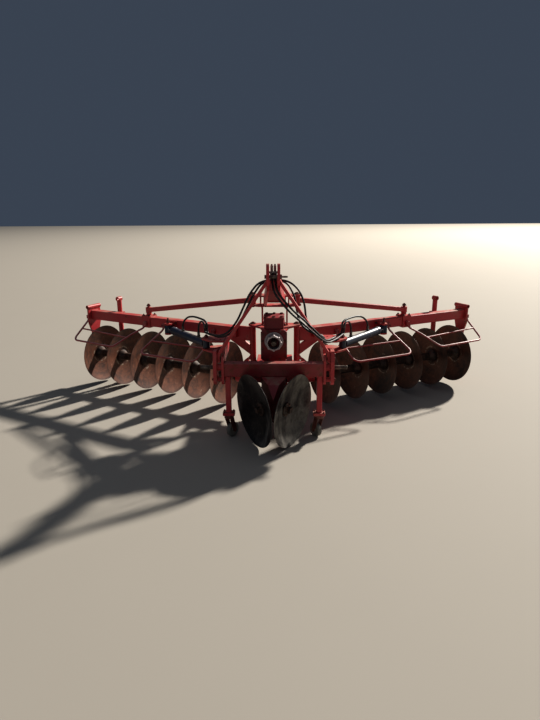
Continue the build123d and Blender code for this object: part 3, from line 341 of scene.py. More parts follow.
def rusty_disc(name, colours, origin, axis, clean, dirt):
    """Rolled steel disc: brown rust with rings round its axis, dark at its rim and hub."""
    g = Graph(name)
    offset = g.vector("SUBTRACT", g.places, tuple(origin))
    share = g.vector("DOT_PRODUCT", offset, tuple(axis), "Value")
    settings = {"operation": "SCALE"}
    on_axis = g.node("ShaderNodeVectorMath", settings, {0: tuple(axis), "Scale": share})
    radius = g.length(g.vector("SUBTRACT", offset, on_axis))
    broad = g.noise(5.0, 4.0, 0.6, 0.6)
    patchy = g.noise(26.0, 7.0, 0.66, 0.5)
    fine = g.noise(240.0, 3.0)
    turned = g.node("ShaderNodeCombineXYZ", {}, {0: radius * 70.0, 1: broad * 1.5})
    rings = g.noise(1.0, 3.0, 0.6, 0.0, turned)
    tone = (broad * 0.55 + patchy * 0.45 + (rings - 0.5) * 0.25).clamped()
    colour = g.blend(g.step(tone, 0.30, 0.66), colours.disc_dark, clean)
    colour = g.blend(g.step(patchy, 0.56, 0.78) * 0.55, colour, scaled(clean, 1.55))
    rim = g.step(radius + (patchy - 0.5) * 0.02, DISC_RADIUS - 0.028, DISC_RADIUS - 0.004)
    colour = g.blend(rim * 0.45, colour, colours.disc_dark)
    hub = 1.0 - g.step(radius + (patchy - 0.5) * 0.03, 0.062, 0.092)
    colour = g.blend(hub * 0.60, colour, colours.disc_dark)
    ragged = radius + (patchy - 0.5) * 0.03
    band = g.step(ragged, 0.074, 0.079) * (1.0 - g.step(ragged, 0.084, 0.092))
    dried = band * g.step(g.noise(30.0, 4.0, 0.6), 0.46, 0.56)
    inner = 1.0 - g.step(radius, 0.09, 0.20)
    specks = g.step(g.noise(120.0, 3.0, 0.6), 0.64, 0.70) * inner
    colour = g.blend((dried * 0.8).highest(specks * 0.6), colour, colours.dust)
    soil = g.step(patchy * 0.7 + broad * 0.5, 0.78 - dirt * 0.22, 0.92 - dirt * 0.2)
    colour = g.blend(soil * 0.65, colour, colours.dust)
    roughness = (0.58 + soil * 0.3 + (fine - 0.5) * 0.25 - rim * 0.08).clamped()
    metallic = ((1.0 - soil) * 0.28).clamped()
    relief = patchy * 0.5 + fine * 0.25 + rings * 0.35 + soil * 0.5
    return g.finish(colour, roughness, metallic, g.bump(relief, 0.45, 0.0012))


def muddy_disc(name, colours, origin, clean):
    """Middle disc: blackened by oil above, with grey mud dried on in smears."""
    g = Graph(name)
    offset = g.vector("SUBTRACT", g.places, tuple(origin))
    radius = g.length(offset)
    broad = g.noise(4.5, 4.0, 0.6, 0.8)
    patchy = g.noise(21.0, 7.0, 0.68, 0.6)
    fine = g.noise(220.0, 3.0)
    drawn_out = g.vector("MULTIPLY", g.places, (1.0, 1.0, 0.28))
    smear = g.noise(9.0, 5.0, 0.6, 0.0, drawn_out)
    colour = g.blend(g.step(patchy, 0.40, 0.68), colours.blackened, OILED_STEEL)
    mud = g.step(broad * 0.45 + smear * 0.6 + (radius - 0.16) * 0.8 - clean, 0.50, 0.66)
    tone = g.blend(g.step(patchy, 0.35, 0.7), colours.mud, scaled(colours.mud, 0.45))
    colour = g.blend(mud * 0.8, colour, tone)
    splash = g.step(g.noise(60.0, 4.0, 0.7), 0.62, 0.70)
    colour = g.blend(splash * 0.5, colour, colours.mud)
    roughness = (0.36 + mud * 0.5 + (fine - 0.5) * 0.2).clamped()
    metallic = (0.55 - mud * 0.5).clamped()
    relief = patchy * 0.4 + mud * 0.8 + fine * 0.2
    return g.finish(colour, roughness, metallic, g.bump(relief, 0.5, 0.002))


def grimy_iron(name, dark, light, metallic, colours):
    """Rough iron or forged steel with oily grime, rust bloom and pale edges, partly wear and
    dust and partly painted highlight.
    """
    g = Graph(name)
    patchy = g.noise(30.0, 7.0, 0.66, 0.4)
    fine = g.noise(260.0, 3.0)
    colour = g.blend(g.step(patchy, 0.36, 0.68), dark, light)
    bloom = g.step(g.noise(55.0, 5.0, 0.7), 0.56, 0.68)
    colour = g.blend(bloom * 0.45, colour, colours.rust)
    # Pale edges: partly wear and dust, partly painted highlight
    corner = g.step(g.edges(0.003), 0.10, 0.5)
    colour = g.blend(corner * 0.5, colour, scaled(light, 2.4))
    roughness = (0.55 + bloom * 0.25 + (fine - 0.5) * 0.3 - corner * 0.12).clamped()
    relief = fine * 0.5 + patchy * 0.5
    return g.finish(colour, roughness, metallic, g.bump(relief, 0.4, 0.001))


def bare_metal(name, tint, roughness, metallic, grime):
    """Plated or polished metal with fine scratches and a little grime."""
    g = Graph(name)
    fine = g.noise(420.0, 3.0, 0.6)
    patchy = g.noise(38.0, 5.0, 0.62)
    dirt = g.step(patchy, 0.66 - grime * 0.2, 0.8 - grime * 0.15)
    colour = g.blend(dirt * 0.75, tint, GRIME)
    dulled = (roughness + dirt * 0.35 + (fine - 0.5) * 0.18).clamped()
    covered = (metallic - dirt * 0.5).clamped()
    return g.finish(colour, dulled, covered, g.bump(fine, 0.18, 0.0005))


def cylinder_rod(name, origin, axis, paint):
    """Polished rod whose forged eye, further from the axis, is painted dark."""
    g = Graph(name)
    offset = g.vector("SUBTRACT", g.places, tuple(origin))
    off_axis = g.length(g.vector("CROSS_PRODUCT", offset, tuple(axis)))
    patchy = g.noise(38.0, 5.0, 0.62)
    fine = g.noise(420.0, 3.0, 0.6)
    eye = g.step(off_axis, 0.0155, 0.0165)
    worn = g.blend(g.step(patchy, 0.45, 0.7), paint, scaled(paint, 2.2))
    colour = g.blend(eye, ROD_CHROME, worn)
    roughness = (0.22 + eye * 0.38 + (fine - 0.5) * 0.15).clamped()
    metallic = (1.0 - eye * 0.9).clamped()
    return g.finish(colour, roughness, metallic, g.bump(fine, 0.2, 0.0005))


def rubber(name, tint, dusty, ribs, colours):
    """Matte rubber with dust in its pores and a fine ribbed pattern."""
    g = Graph(name)
    patchy = g.noise(28.0, 5.0, 0.6)
    fine = g.noise(340.0, 3.0)
    settings = {"wave_type": "BANDS", "bands_direction": "DIAGONAL"}
    values = {"Vector": g.places, "Scale": ribs, "Distortion": 1.5}
    weave = g.node("ShaderNodeTexWave", settings, values, "Fac")
    scuff = g.step(patchy * 0.8 + fine * 0.3, 0.60, 0.80)
    colour = g.blend(scuff * dusty, tint, colours.dust)
    roughness = (0.52 + scuff * 0.35 + (fine - 0.5) * 0.15).clamped()
    relief = weave * 0.4 + fine * 0.4
    return g.finish(colour, roughness, 0.0, g.bump(relief, 0.3, 0.0006))


def cast_metal(name, tint):
    """Sand cast aluminium, dulled and stained in its hollows."""
    g = Graph(name)
    patchy = g.noise(34.0, 6.0, 0.65, 0.4)
    grain = g.noise(520.0, 3.0)
    stain = g.step(patchy, 0.48, 0.70)
    colour = g.blend(stain * 0.55, tint, CAST_STAIN)
    corner = g.step(g.edges(0.003), 0.08, 0.4)
    colour = g.blend(corner * 0.35, colour, CAST_WORN)
    roughness = (0.46 + stain * 0.3 + (grain - 0.5) * 0.2).clamped()
    metallic = (0.35 - stain * 0.2).clamped()
    return g.finish(colour, roughness, metallic, g.bump(grain, 0.5, 0.0006))


made_finishes = {}


def finishes():
    """Every finish by name, made once and looked up after that."""
    if made_finishes:
        return made_finishes
    c = bpy.context.scene.plough_colours
    red, blue = tuple(c.red), tuple(c.barrel)
    paints = (
        ("frame", "frame_red", red, tuple(c.bleached_and_lit), 0.6),
        ("tube", "tube_red", scaled(red, 0.6), TUBE_FADED_AND_LIT, 3.2),
        # Guard bars: the darker red is partly painted shade on their undersides, and the pale
        # top is partly painted highlight
        ("bars", "guard_bars", scaled(red, 0.7), BAR_FADED_AND_LIT, 0.4),
        ("case", "case_red_and_shade", tuple(c.case_red_and_shade), CASE_FADED_AND_LIT, 0.3),
        ("caster", "caster_red", CASTER_RED, CASTER_FADED_AND_LIT, 1.6),
        ("barrel", "cylinder_blue", blue, BARREL_FADED_AND_LIT, 0.2),
    )
    irons = (
        ("spool", "spool_iron", SPOOL_DARK, SPOOL_LIGHT, 0.2),
        ("pin", "pin_steel", PIN_DARK, PIN_LIGHT, 0.7),
        ("bolt", "painted_bolt", BOLT_DARK, BOLT_LIGHT, 0.1),
        ("weld", "weld_paint", WELD_DARK, WELD_LIGHT, 0.0),
    )
    found = made_finishes
    for look, name, plain, bleached_and_lit, wear in paints:
        found[look] = weathered_paint(name, c, plain, bleached_and_lit, wear)
    for look, name, dark, light, metallic in irons:
        found[look] = grimy_iron(name, dark, light, metallic, c)
    for side, sign in SIDES:
        gang = mirrored(wing_point(0, 0, GANG_HEIGHT), sign)
        along = mirrored(ALONG, sign)
        disc = tuple(c.disc)
        found[f"disc_{side}"] = rusty_disc(f"rusty_steel_{side}", c, gang, along, disc, 0.3)
        root = mirrored(SPINDLE_ROOT, sign)
        # The left middle disc gets less mud and so stays darker: partly a real difference,
        # partly painted shade
        clean = 0.03 - 0.05 * sign
        found[f"middle_{side}"] = muddy_disc(f"muddy_steel_{side}", c, root, clean)
        base = mirrored(CYLINDER_BASE + UP * CYLINDER_HEIGHT, sign)
        way = mirrored(CYLINDER_WAY, sign)
        found[f"rod_{side}"] = cylinder_rod(f"rod_chrome_{side}", base, way, blue)
    found["guard"] = cast_metal("cast_aluminium", tuple(c.cast))
    found["coupler"] = bare_metal("coupler_steel", COUPLER_STEEL, 0.36, 0.9, 0.6)
    found["zinc"] = bare_metal("zinc_plate", tuple(c.zinc), 0.38, 0.85, 0.7)
    found["hose"] = rubber("hose_rubber", tuple(c.hose), 0.22, 260.0, c)
    found["tyre"] = rubber("caster_rubber", tuple(c.tyre), 0.65, 60.0, c)
    return found


# Mesh makers


def linked(name, data):
    """A new object of the scene that shows a mesh, light or camera."""
    piece = bpy.data.objects.new(name, data)
    bpy.context.scene.collection.objects.link(piece)
    return piece


def baked(name, source, body):
    """Turns a piece with live modifiers into a plain mesh that rides on a body."""
    depsgraph = bpy.context.evaluated_depsgraph_get()
    mesh = bpy.data.meshes.new_from_object(source.evaluated_get(depsgraph))
    holder = source.data
    bpy.data.objects.remove(source)
    bpy.data.meshes.remove(holder)
    mesh.name = name
    piece = linked(name, mesh)
    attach(piece, body)
    return piece


class Recipe:
    """Geometry node tree with one node-making method and named inputs."""

    def __init__(self, name, inputs):
        self.tree = bpy.data.node_groups.new(name, "GeometryNodeTree")
        interface = self.tree.interface
        interface.new_socket("Geometry", in_out="INPUT", socket_type="NodeSocketGeometry")
        for label, kind in inputs:
            interface.new_socket(label, in_out="INPUT", socket_type=kind)
        interface.new_socket("Geometry", in_out="OUTPUT", socket_type="NodeSocketGeometry")
        self.start = self.tree.nodes.new("NodeGroupInput")

    def given(self, label):
        return self.start.outputs[label]

    def node(self, kind, settings, values, output=0):
        node = self.tree.nodes.new(kind)
        for key, value in settings.items():
            setattr(node, key, value)
        for key, value in values.items():
            for link in value if isinstance(value, list) else [value]:
                if isinstance(link, bpy.types.NodeSocket):
                    self.tree.links.new(link, node.inputs[key])
                else:
                    node.inputs[key].default_value = link
        return node.outputs[output] if len(node.outputs) else None

    def end(self, geometry):
        real = self.node("GeometryNodeRealizeInstances", {}, {0: geometry})
        values = {"Geometry": real, "Material": self.given("Material")}
        done = self.node("GeometryNodeSetMaterial", {}, values)
        self.node("NodeGroupOutput", {}, {0: done})
        return self.tree


def applied(name, holder, tree, values, body):
    """Runs a tree on a holder mesh, with its inputs set by their identifiers."""
    source = linked(name + "_points", holder)
    modifier = source.modifiers.new("recipe", "NODES")
    modifier.node_group = tree
    for item in tree.interface.items_tree:
        if item.item_type == "SOCKET" and item.in_out == "INPUT" and item.name in values:
            modifier[item.identifier] = values[item.name]
    source.update_tag()
    return baked(name, source, body)


def point_mesh(name, seats):
    """Bare points that carry the way each fastener faces."""
    mesh = bpy.data.meshes.new(name)
    mesh.from_pydata([seat[0] for seat in seats], [], [])
    ways = mesh.attributes.new("way", "FLOAT_VECTOR", "POINT")
    ways.data.foreach_set("vector", [value for seat in seats for value in seat[1]])
    return mesh


def run_mesh(name, runs):
    """Edges that weld beads follow."""
    mesh = bpy.data.meshes.new(name)
    points = []
    edges = []
    for run in runs:
        first = len(points)
        points += [tuple(point) for point in run]
        edges += [(first + step, first + step + 1) for step in range(len(run) - 1)]
    mesh.from_pydata(points, edges, [])
    return mesh


# Turn after which a hexagon looks the same, in radians, as the range of the random turns
SIXTH_TURN = 1.047


def bolt_tree():
    """Hexagonal head with a chamfered crown on a washer, one for each point."""
    tree = bpy.data.node_groups.get("hex_fasteners")
    if tree:
        return tree
    r = Recipe("hex_fasteners", (
        ("Head radius", "NodeSocketFloat"), ("Head height", "NodeSocketFloat"),
        ("Washer", "NodeSocketFloat"), ("Stud", "NodeSocketFloat"),
        ("Material", "NodeSocketMaterial"),
    ))
    radius, height = r.given("Head radius"), r.given("Head height")
    washer, stud = r.given("Washer"), r.given("Stud")

    def times(value, factor):
        return r.node("ShaderNodeMath", {"operation": "MULTIPLY"}, {0: value, 1: factor})

    def plus(first, second):
        return r.node("ShaderNodeMath", {"operation": "ADD"}, {0: first, 1: second})

    def barrel(sides, size, depth, lift):
        values = {"Vertices": sides, "Radius": size, "Depth": depth}
        body = r.node("GeometryNodeMeshCylinder", {}, values, "Mesh")
        place = r.node("ShaderNodeCombineXYZ", {}, {2: lift})
        return r.node("GeometryNodeTransform", {}, {"Geometry": body, "Translation": place})

    # The hexagon takes 0.86 of the head's height and the round crown the rest
    base = plus(washer, times(height, 0.43))
    crown = plus(washer, times(height, 0.93))
    tip = plus(washer, plus(height, times(stud, 0.5)))
    shapes = [
        barrel(18, times(radius, 1.32), washer, times(washer, 0.5)),
        barrel(6, radius, times(height, 0.86), base),
        barrel(12, times(radius, 0.80), times(height, 0.14), crown),
        barrel(10, times(radius, 0.50), stud, tip),
    ]
    shape = r.node("GeometryNodeJoinGeometry", {}, {0: shapes})
    settings = {"data_type": "FLOAT_VECTOR"}
    way = r.node("GeometryNodeInputNamedAttribute", settings, {"Name": "way"})
    turn = r.node("FunctionNodeAlignRotationToVector", {"axis": "Z"}, {"Vector": way})
    values = {2: 0.0, 3: SIXTH_TURN, "Seed": 7}
    spin = r.node("FunctionNodeRandomValue", {"data_type": "FLOAT"}, values, 1)
    spun = r.node("FunctionNodeAxisAngleToRotation", {}, {"Axis": tuple(UP), "Angle": spin})
    settings = {"rotation_space": "LOCAL"}
    turned = r.node("FunctionNodeRotateRotation", settings, {0: turn, 1: spun})
    placed = r.node("GeometryNodeInstanceOnPoints", {}, {
        "Points": r.given("Geometry"), "Instance": shape, "Rotation": turned,
    })
    return r.end(placed)


def weld_tree():
    """Rippled bead along each run of edges."""
    tree = bpy.data.node_groups.get("weld_beads")
    if tree:
        return tree
    r = Recipe("weld_beads", (
        ("Radius", "NodeSocketFloat"), ("Pitch", "NodeSocketFloat"),
        ("Material", "NodeSocketMaterial"),
    ))
    curve = r.node("GeometryNodeMeshToCurve", {}, {"Mesh": r.given("Geometry")})
    values = {"Curve": curve, "Length": r.given("Pitch")}
    curve = r.node("GeometryNodeResampleCurve", {"mode": "LENGTH"}, values)
    # Every second point is wider by 0.32 of the radius, and each a little at random
    index = r.node("GeometryNodeInputIndex", {}, {})
    odd = r.node("ShaderNodeMath", {"operation": "MODULO"}, {0: index, 1: 2.0})
    values = {2: 0.72, 3: 0.95, "Seed": 11}
    jitter = r.node("FunctionNodeRandomValue", {"data_type": "FLOAT"}, values, 1)
    size = r.node("ShaderNodeMath", {"operation": "MULTIPLY_ADD"}, {0: odd, 1: 0.32, 2: jitter})
    wide = r.node("ShaderNodeMath", {"operation": "MULTIPLY"}, {0: size, 1: r.given("Radius")})
    values = {"Resolution": 6, "Radius": 1.0}
    ring = r.node("GeometryNodeCurvePrimitiveCircle", {}, values, "Curve")
    curve = r.node("GeometryNodeSetCurveRadius", {}, {"Curve": curve, "Radius": wide})
    values = {"Curve": curve, "Profile Curve": ring, "Fill Caps": True}
    bead = r.node("GeometryNodeCurveToMesh", {}, values)
    # A node that has a Scale socket takes the radius there and not from the curve
    for socket in bead.node.inputs:
        if socket.name == "Scale":
            r.tree.links.new(wide, socket)
    return r.end(bead)


def lathe(name, profile, origin, axis, steps=20):
    """Turned mesh from pairs of a radius and a place along its axis; radius 0 closes an end."""
    axis = axis.normalized()
    side = axis.orthogonal().normalized()
    other = axis.cross(side)
    mesh = bmesh.new()
    rings = []
    for radius, place in profile:
        centre = origin + axis * place
        if radius == 0:
            rings.append([mesh.verts.new(centre)])
            continue
        rings.append([
            mesh.verts.new(centre + side * math.cos(a) * radius + other * math.sin(a) * radius)
            for a in (2 * math.pi * step / steps for step in range(steps))
        ])
    for first, second in zip(rings, rings[1:]):
        for step in range(steps):
            following = (step + 1) % steps
            corners = [
                first[step % len(first)], first[following % len(first)],
                second[following % len(second)], second[step % len(second)],
            ]
            unique = list(dict.fromkeys(corners))
            if len(unique) > 2:
                mesh.faces.new(unique)
    bmesh.ops.recalc_face_normals(mesh, faces=mesh.faces)
    for face in mesh.faces:
        face.smooth = True
    made = bpy.data.meshes.new(name)
    mesh.to_mesh(made)
    mesh.free()
    return made


# Angle between faces past which an edge of a turned piece is drawn sharp
SHARP = math.radians(32)


def joined(name, meshes, body, material):
    """One piece from several meshes, with sharp corners kept sharp."""
    whole = bmesh.new()
    for mesh in meshes:
        whole.from_mesh(mesh)
        bpy.data.meshes.remove(mesh)
    for edge in whole.edges:
        if len(edge.link_faces) == 2 and edge.calc_face_angle(0.0) > SHARP:
            edge.smooth = False
    made = bpy.data.meshes.new(name)
    whole.to_mesh(made)
    whole.free()
    made.materials.append(material)
    piece = linked(name, made)
    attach(piece, body)
    return piece


# Places and sizes of the fasteners, welds and hose ends, in millimetres

# Bolts of the headstock: name, x places, back places, z places, way, head radius, head height,
# stud, and whether the left has them too
HEAD_BOLTS = (
    ("cover_bolts", (-54, 0, 54), (156, 278), (837,), (0, 0, 1), 11.5, 9.0, 0.0, False),
    ("flange_bolts", (82,), (118,), (562, 618, 674, 724), (0, -1, 0), 8.0, 6.5, 0.0, True),
    ("flange_end_bolts", (42,), (118,), (541, 745), (0, -1, 0), 8.0, 6.5, 0.0, True),
    ("brace_bolts", (412.5,), (14,), (576, 604), (1, 0, 0), 10.0, 8.0, 0.0, True),
    ("brace_nuts", (367.5,), (14,), (576,), (-1, 0, 0), 10.0, 8.0, 5.0, True),
    ("hinge_plate_bolts", (40, 76), (452, 532), (714,), (0, 0, 1), 9.0, 7.5, 0.0, True),
    ("bracket_bolts", (106,), (474, 526), (942,), (0, 0, 1), 9.0, 7.5, 4.0, True),
    ("crown_bolts", (285, 349), (-22, 22), (192,), (0, 0, 1), 6.5, 5.0, 3.0, True),
    ("case_bolts", (84,), (-16, 30), (236, 300, 362, 420), (1, 0, 0), 7.5, 6.0, 0.0, True),
    ("pin_nuts", (500,), (290,), (668,), (0, 0, 1), 13.0, 9.0, 4.0, True),
    ("hinge_caps", (168,), (517,), (722, 950), (0, 0, 1), 12.0, 6.0, 0.0, True),
    ("lug_bolts", (412.5,), (0,), (432,), (1, 0, 0), 12.0, 9.0, 6.0, True),
)
# Bolts of a wing: name, places along, behind and up, way along, behind and up, head radius,
# head height and stud
WING_BOLTS = (
    ("bracket_plate_bolts", (711, 799), (-48,), (586, 660), (0, -1, 0), 8.5, 7.0, 0.0),
    ("stay_clamp_bolts", (1000, 1060), (-36, 36), (690,), (0, 0, 1), 8.5, 7.0, 5.0),
    ("stay_nut", (1030,), (0,), (769,), (0, 0, 1), 15.0, 12.0, 5.0),
    ("rod_pin_nut", (755,), (-92,), (668,), (0, 0, 1), 13.0, 9.0, 26.0),
    ("guard_bolts", (323.5, 346.5, 823.5, 846.5), (-59,), (625,), (0, -1, 0), 4.6, 4.0, 2.0),
    ("plate_bolts", (1691,), (46,), (612, 668), (1, 0, 0), 9.0, 7.0, 4.0),
    ("post_clamp_bolts", (1410, 1450), (100,), (624, 658), (0, 1, 0), 8.0, 6.5, 4.0),
)
# Welds of the headstock, which the left has too: runs of x, back, z
HEAD_WELDS = (
    ((340, -35, 468), (340, -35, 548), (340, -27, 556), (340, 27, 556), (340, 35, 548),
     (340, 35, 468), (340, 27, 460), (340, -27, 460), (340, -35, 468)),
    ((298, -19, 460), (336, -19, 460), (336, 19, 460), (298, 19, 460), (298, -19, 460)),
    ((298, -19, 192), (336, -19, 192), (336, 19, 192), (298, 19, 192), (298, -19, 192)),
    ((90, -35, 460), (134, -35, 460)),
    ((90, 35, 460), (134, 35, 460)),
    ((358, 182, 570), (358, 374, 570)),
    ((358, 182, 660), (358, 374, 660)),
    ((358, 182, 648), (358, 374, 648)),
    ((387.5, -11, 556), (387.5, -11, 613)),
    ((387.5, 39, 556), (387.5, 39, 613)),
    ((46, -11, 1084), (46, -11, 1118)),
    ((101, 467, 867), (101, 533, 867)),
    ((101, 467, 930), (101, 533, 930)),
    ((99, 458, 714), (99, 498, 714)),
    ((99, 458, 855), (99, 498, 855)),
)
# Welds of a wing: runs of places along, behind and up
WING_WELDS = (
    ((132, -9, 602), (132, -9, 678)),
    ((132, 9, 602), (132, 9, 678)),
    ((21, -9, 470), (21, -9, 686)),
    ((21, 9, 470), (21, 9, 686)),
    ((1675, -40, 606), (1675, -40, 674), (1675, -34, 680),
     (1675, 34, 680), (1675, 40, 674), (1675, 40, 606)),
    ((988, -40, 602), (988, -40, 676), (988, -36, 680),
     (988, 36, 680), (988, 40, 676), (988, 40, 602)),
    ((1072, -40, 602), (1072, -40, 676), (1072, -36, 680),
     (1072, 36, 680), (1072, 40, 676), (1072, 40, 602)),
    ((725, -48, 582), (785, -48, 582)),
    ((725, -48, 648), (785, -48, 648)),
    ((1400, 40, 612), (1400, 40, 670), (1460, 40, 670), (1460, 40, 612)),
    ((1052, 0, 690), (1045.6, 15.6, 690), (1030, 22, 690), (1014.4, 15.6, 690),
     (1008, 0, 690), (1014.4, -15.6, 690), (1030, -22, 690), (1045.6, -15.6, 690),
     (1052, 0, 690)),
    ((1674, -70, 700), (1674, 70, 700)),
    ((1692, -70, 700), (1692, 70, 700)),
)
# Hose ends on the headstock: x, back, z, way, crimped or a plain turning nut, and its sides
HEAD_FITTINGS = (
    (11, 48, 1158, (0, 0, -1), True, (1,)),
    (-11, 48, 1158, (0, 0, -1), True, (1,)),
    (349, 110, 660, (0, 0, 1), True, (1,)),
    (349, 150, 660, (0, 0, 1), True, (1,)),
    (492.9, 295.6, 745, (0, 0, -1), False, (1, -1)),
    (507.1, 284.4, 745, (0, 0, -1), False, (1, -1)),
)
# Hose ends on a barrel: places along and beside it, z, way, crimped or a plain turning nut
BARREL_FITTINGS = (
    (0, 9, 745.3, (0, 0, 1), False),
    (0, -9, 745.3, (0, 0, 1), False),
    (360, 0, 645.3, (0, 0, 1), True),
    (112, 0, 645.3, (0, 0, 1), True),
)


# Hose fittings, in metres: nuts, their length, and a ferrule's ends, first rib and rib pitch
CRIMPED_NUT_RADIUS = 0.0130
TURNING_NUT_RADIUS = 0.0098
NUT_LENGTH = 0.0125
FERRULE_START = 0.012
FERRULE_END = 0.038
FIRST_RIB = 0.015
RIB_PITCH = 0.004
RIBS = 5


def nut_profile(radius):
    """Chamfered nut from its foot to its top."""
    return [
        (0.0, 0.0), (radius * 0.92, 0.0), (radius, 0.001),
        (radius, NUT_LENGTH - 0.0015), (radius * 0.9, NUT_LENGTH), (0.0, NUT_LENGTH),
    ]


def ferrule_profile(radius):
    """Crimped ferrule with a groove after each rib."""
    groove = radius * 0.9
    profile = [(0.0, FERRULE_START), (radius * 0.93, FERRULE_START), (radius, 0.014)]
    for rib in range(RIBS):
        start = FIRST_RIB + rib * RIB_PITCH
        profile += [
            (radius, start), (radius, start + 0.0026),
            (groove, start + 0.0030), (groove, start + 0.0037),
        ]
    return profile + [(radius, 0.036), (radius * 0.86, FERRULE_END), (0.0, FERRULE_END)]


def fitting_meshes(name, places, ferrule):
    """Hexagonal nut over each hose end, and a ferrule where the hose is crimped."""
    made = []
    for index, (place, way, crimped) in enumerate(places):
        nut = nut_profile(CRIMPED_NUT_RADIUS if crimped else TURNING_NUT_RADIUS)
        made.append(lathe(f"{name}_nut_{index}", nut, place, way, 6))
        if crimped:
            made.append(lathe(f"{name}_ferrule_{index}", ferrule_profile(ferrule), place, way))
    return made


def dish_depth(radius):
    """How deep a disc's hollow is at a radius, below its rim."""
    rim_level = math.sqrt(DISH_RADIUS ** 2 - DISC_RADIUS ** 2)
    return math.sqrt(DISH_RADIUS ** 2 - radius ** 2) - rim_level


def bolt_ring(centre, first, second, radius):
    """Four points round a centre, halfway between two directions and their opposites."""
    turns = [math.pi * (0.25 + 0.5 * step) for step in range(4)]
    return [
        centre + first * radius * math.cos(turn) + second * radius * math.sin(turn)
        for turn in turns
    ]


# Which finish each solid gets, for the solids that stand alone and for those of a side
SINGLE_LOOKS = {
    "tube": ("cross_tube",),
    "frame": (
        "side_brackets", "hitch_plates", "front_legs", "mast_cheeks", "front_braces",
        "stay_bracket", "upper_hinge_plate", "lower_hinge_plate", "side_rails",
    ),
    # The cases and the mast cover get the darker case paint, partly as painted shade
    "case": ("gearbox", "drop_case", "gang_drive", "mast_cover"),
    "pin": ("hitch_pins", "top_link_pin", "hinge_pins", "power_shaft"),
    "guard": ("shaft_guard",),
    "coupler": ("couplers",),
    "hose": ("hoses",),
}
PAIRED_LOOKS = {
    "frame": ("beam", "wing_bracket", "end_plate", "stay_bar", "rear_post"),
    "bars": ("inner_guard", "outer_guard"),
    "caster": ("front_caster_fork", "rear_caster_fork"),
    "tyre": ("front_caster_wheel", "rear_caster_wheel"),
    "spool": ("gang_shaft", "middle_hub"),
    "barrel": ("cylinder_barrel",),
    "hose": ("barrel_hoses",),
}

# Rings of four bolts, in metres: round a gang's outer bearing and on a middle hub, whose bolts
# stand on the disc's hollow face at the hub's radius
BEARING_RING = 0.043
HUB_RING = 0.039
HUB_RADIUS = 0.060
HUB_STEP = 0.008

# Shortest stud, in millimetres, as a fastener without one still gets a cylinder
LEAST_STUD = 0.05


# Operators


class PaintFrame(bpy.types.Operator):
    """Give every solid of the frame its own finish"""

    bl_idname = "plough.paint_frame"
    bl_label = "Paint the solids"

    def execute(self, context):
        looks = finishes()
        wanted = {name: look for look, names in SINGLE_LOOKS.items() for name in names}
        for side, _ in SIDES:
            for look, names in PAIRED_LOOKS.items():
                wanted.update({f"{side}_{name}": look for name in names})
            wanted[f"{side}_gang_discs"] = f"disc_{side}"
            wanted[f"{side}_middle_disc"] = f"middle_{side}"
            wanted[f"{side}_cylinder_rod"] = f"rod_{side}"
        for name, node in nodes.items():
            node.data.materials.clear()
            node.data.materials.append(looks[wanted[name]])
        return {"FINISHED"}


class AddFasteners(bpy.types.Operator):
    """Bolt heads and nuts of the headstock, the wings, the gangs and the middle discs"""

    bl_idname = "plough.add_fasteners"
    bl_label = "Add fasteners"

    def execute(self, context):
        washer = context.scene.plough_fasteners.washer
        looks = finishes()
        tree = bolt_tree()

        def place(name, seats, radius, height, stud, body, look="bolt"):
            values = {
                "Head radius": radius / 1000, "Head height": height / 1000, "Washer": washer,
                "Stud": max(stud, LEAST_STUD) / 1000, "Material": looks[look],
            }
            applied(name, point_mesh(name, seats), tree, values, body)

        for name, xs, backs, zs, way, radius, height, stud, both in HEAD_BOLTS:
            facing = Vector(way)
            seats = [(head_point(x, back, z), facing) for x in xs for back in backs for z in zs]
            if both:
                seats += [(mirrored(spot, -1), mirrored(facing, -1)) for spot, _ in seats]
            place(name, seats, radius, height, stud, "headstock")

        across = SPINDLE.cross(UP).normalized()
        hub = SPINDLE_ROOT + SPINDLE * (MIDDLE_REACH - dish_depth(HUB_RADIUS) + HUB_STEP)
        hub_ring = bolt_ring(hub, across, across.cross(SPINDLE), HUB_RING)
        bearing = wing_point(BEARING_FACE, 0, GANG_HEIGHT)
        bearing_ring = bolt_ring(bearing, BEHIND, UP, BEARING_RING)
        shaft_end = wing_point(SHAFT_END, 0, GANG_HEIGHT)
        for side, sign in SIDES:
            wing = f"{side}_wing"
            for name, us, vs, zs, way, radius, height, stud in WING_BOLTS:
                facing = mirrored(ALONG * way[0] + BEHIND * way[1] + UP * way[2], sign)
                seats = [
                    (mirrored(wing_point(u, v, z), sign), facing)
                    for u in us for v in vs for z in zs
                ]
                place(f"{side}_{name}", seats, radius, height, stud, wing)
            out = mirrored(ALONG, sign)
            seats = [(mirrored(spot, sign), out) for spot in bearing_ring]
            place(f"{side}_bearing_bolts", seats, 8.0, 6.0, 3.0, wing)
            seats = [(mirrored(shaft_end, sign), out)]
            place(f"{side}_shaft_nut", seats, 17.0, 9.0, 2.0, f"{side}_gang")
            out = mirrored(SPINDLE, sign)
            seats = [(mirrored(spot, sign), out) for spot in hub_ring]
            body = f"{side}_middle_disc"
            place(f"{side}_hub_bolts", seats, 7.5, 5.0, 0.0, body, "spool")
        return {"FINISHED"}


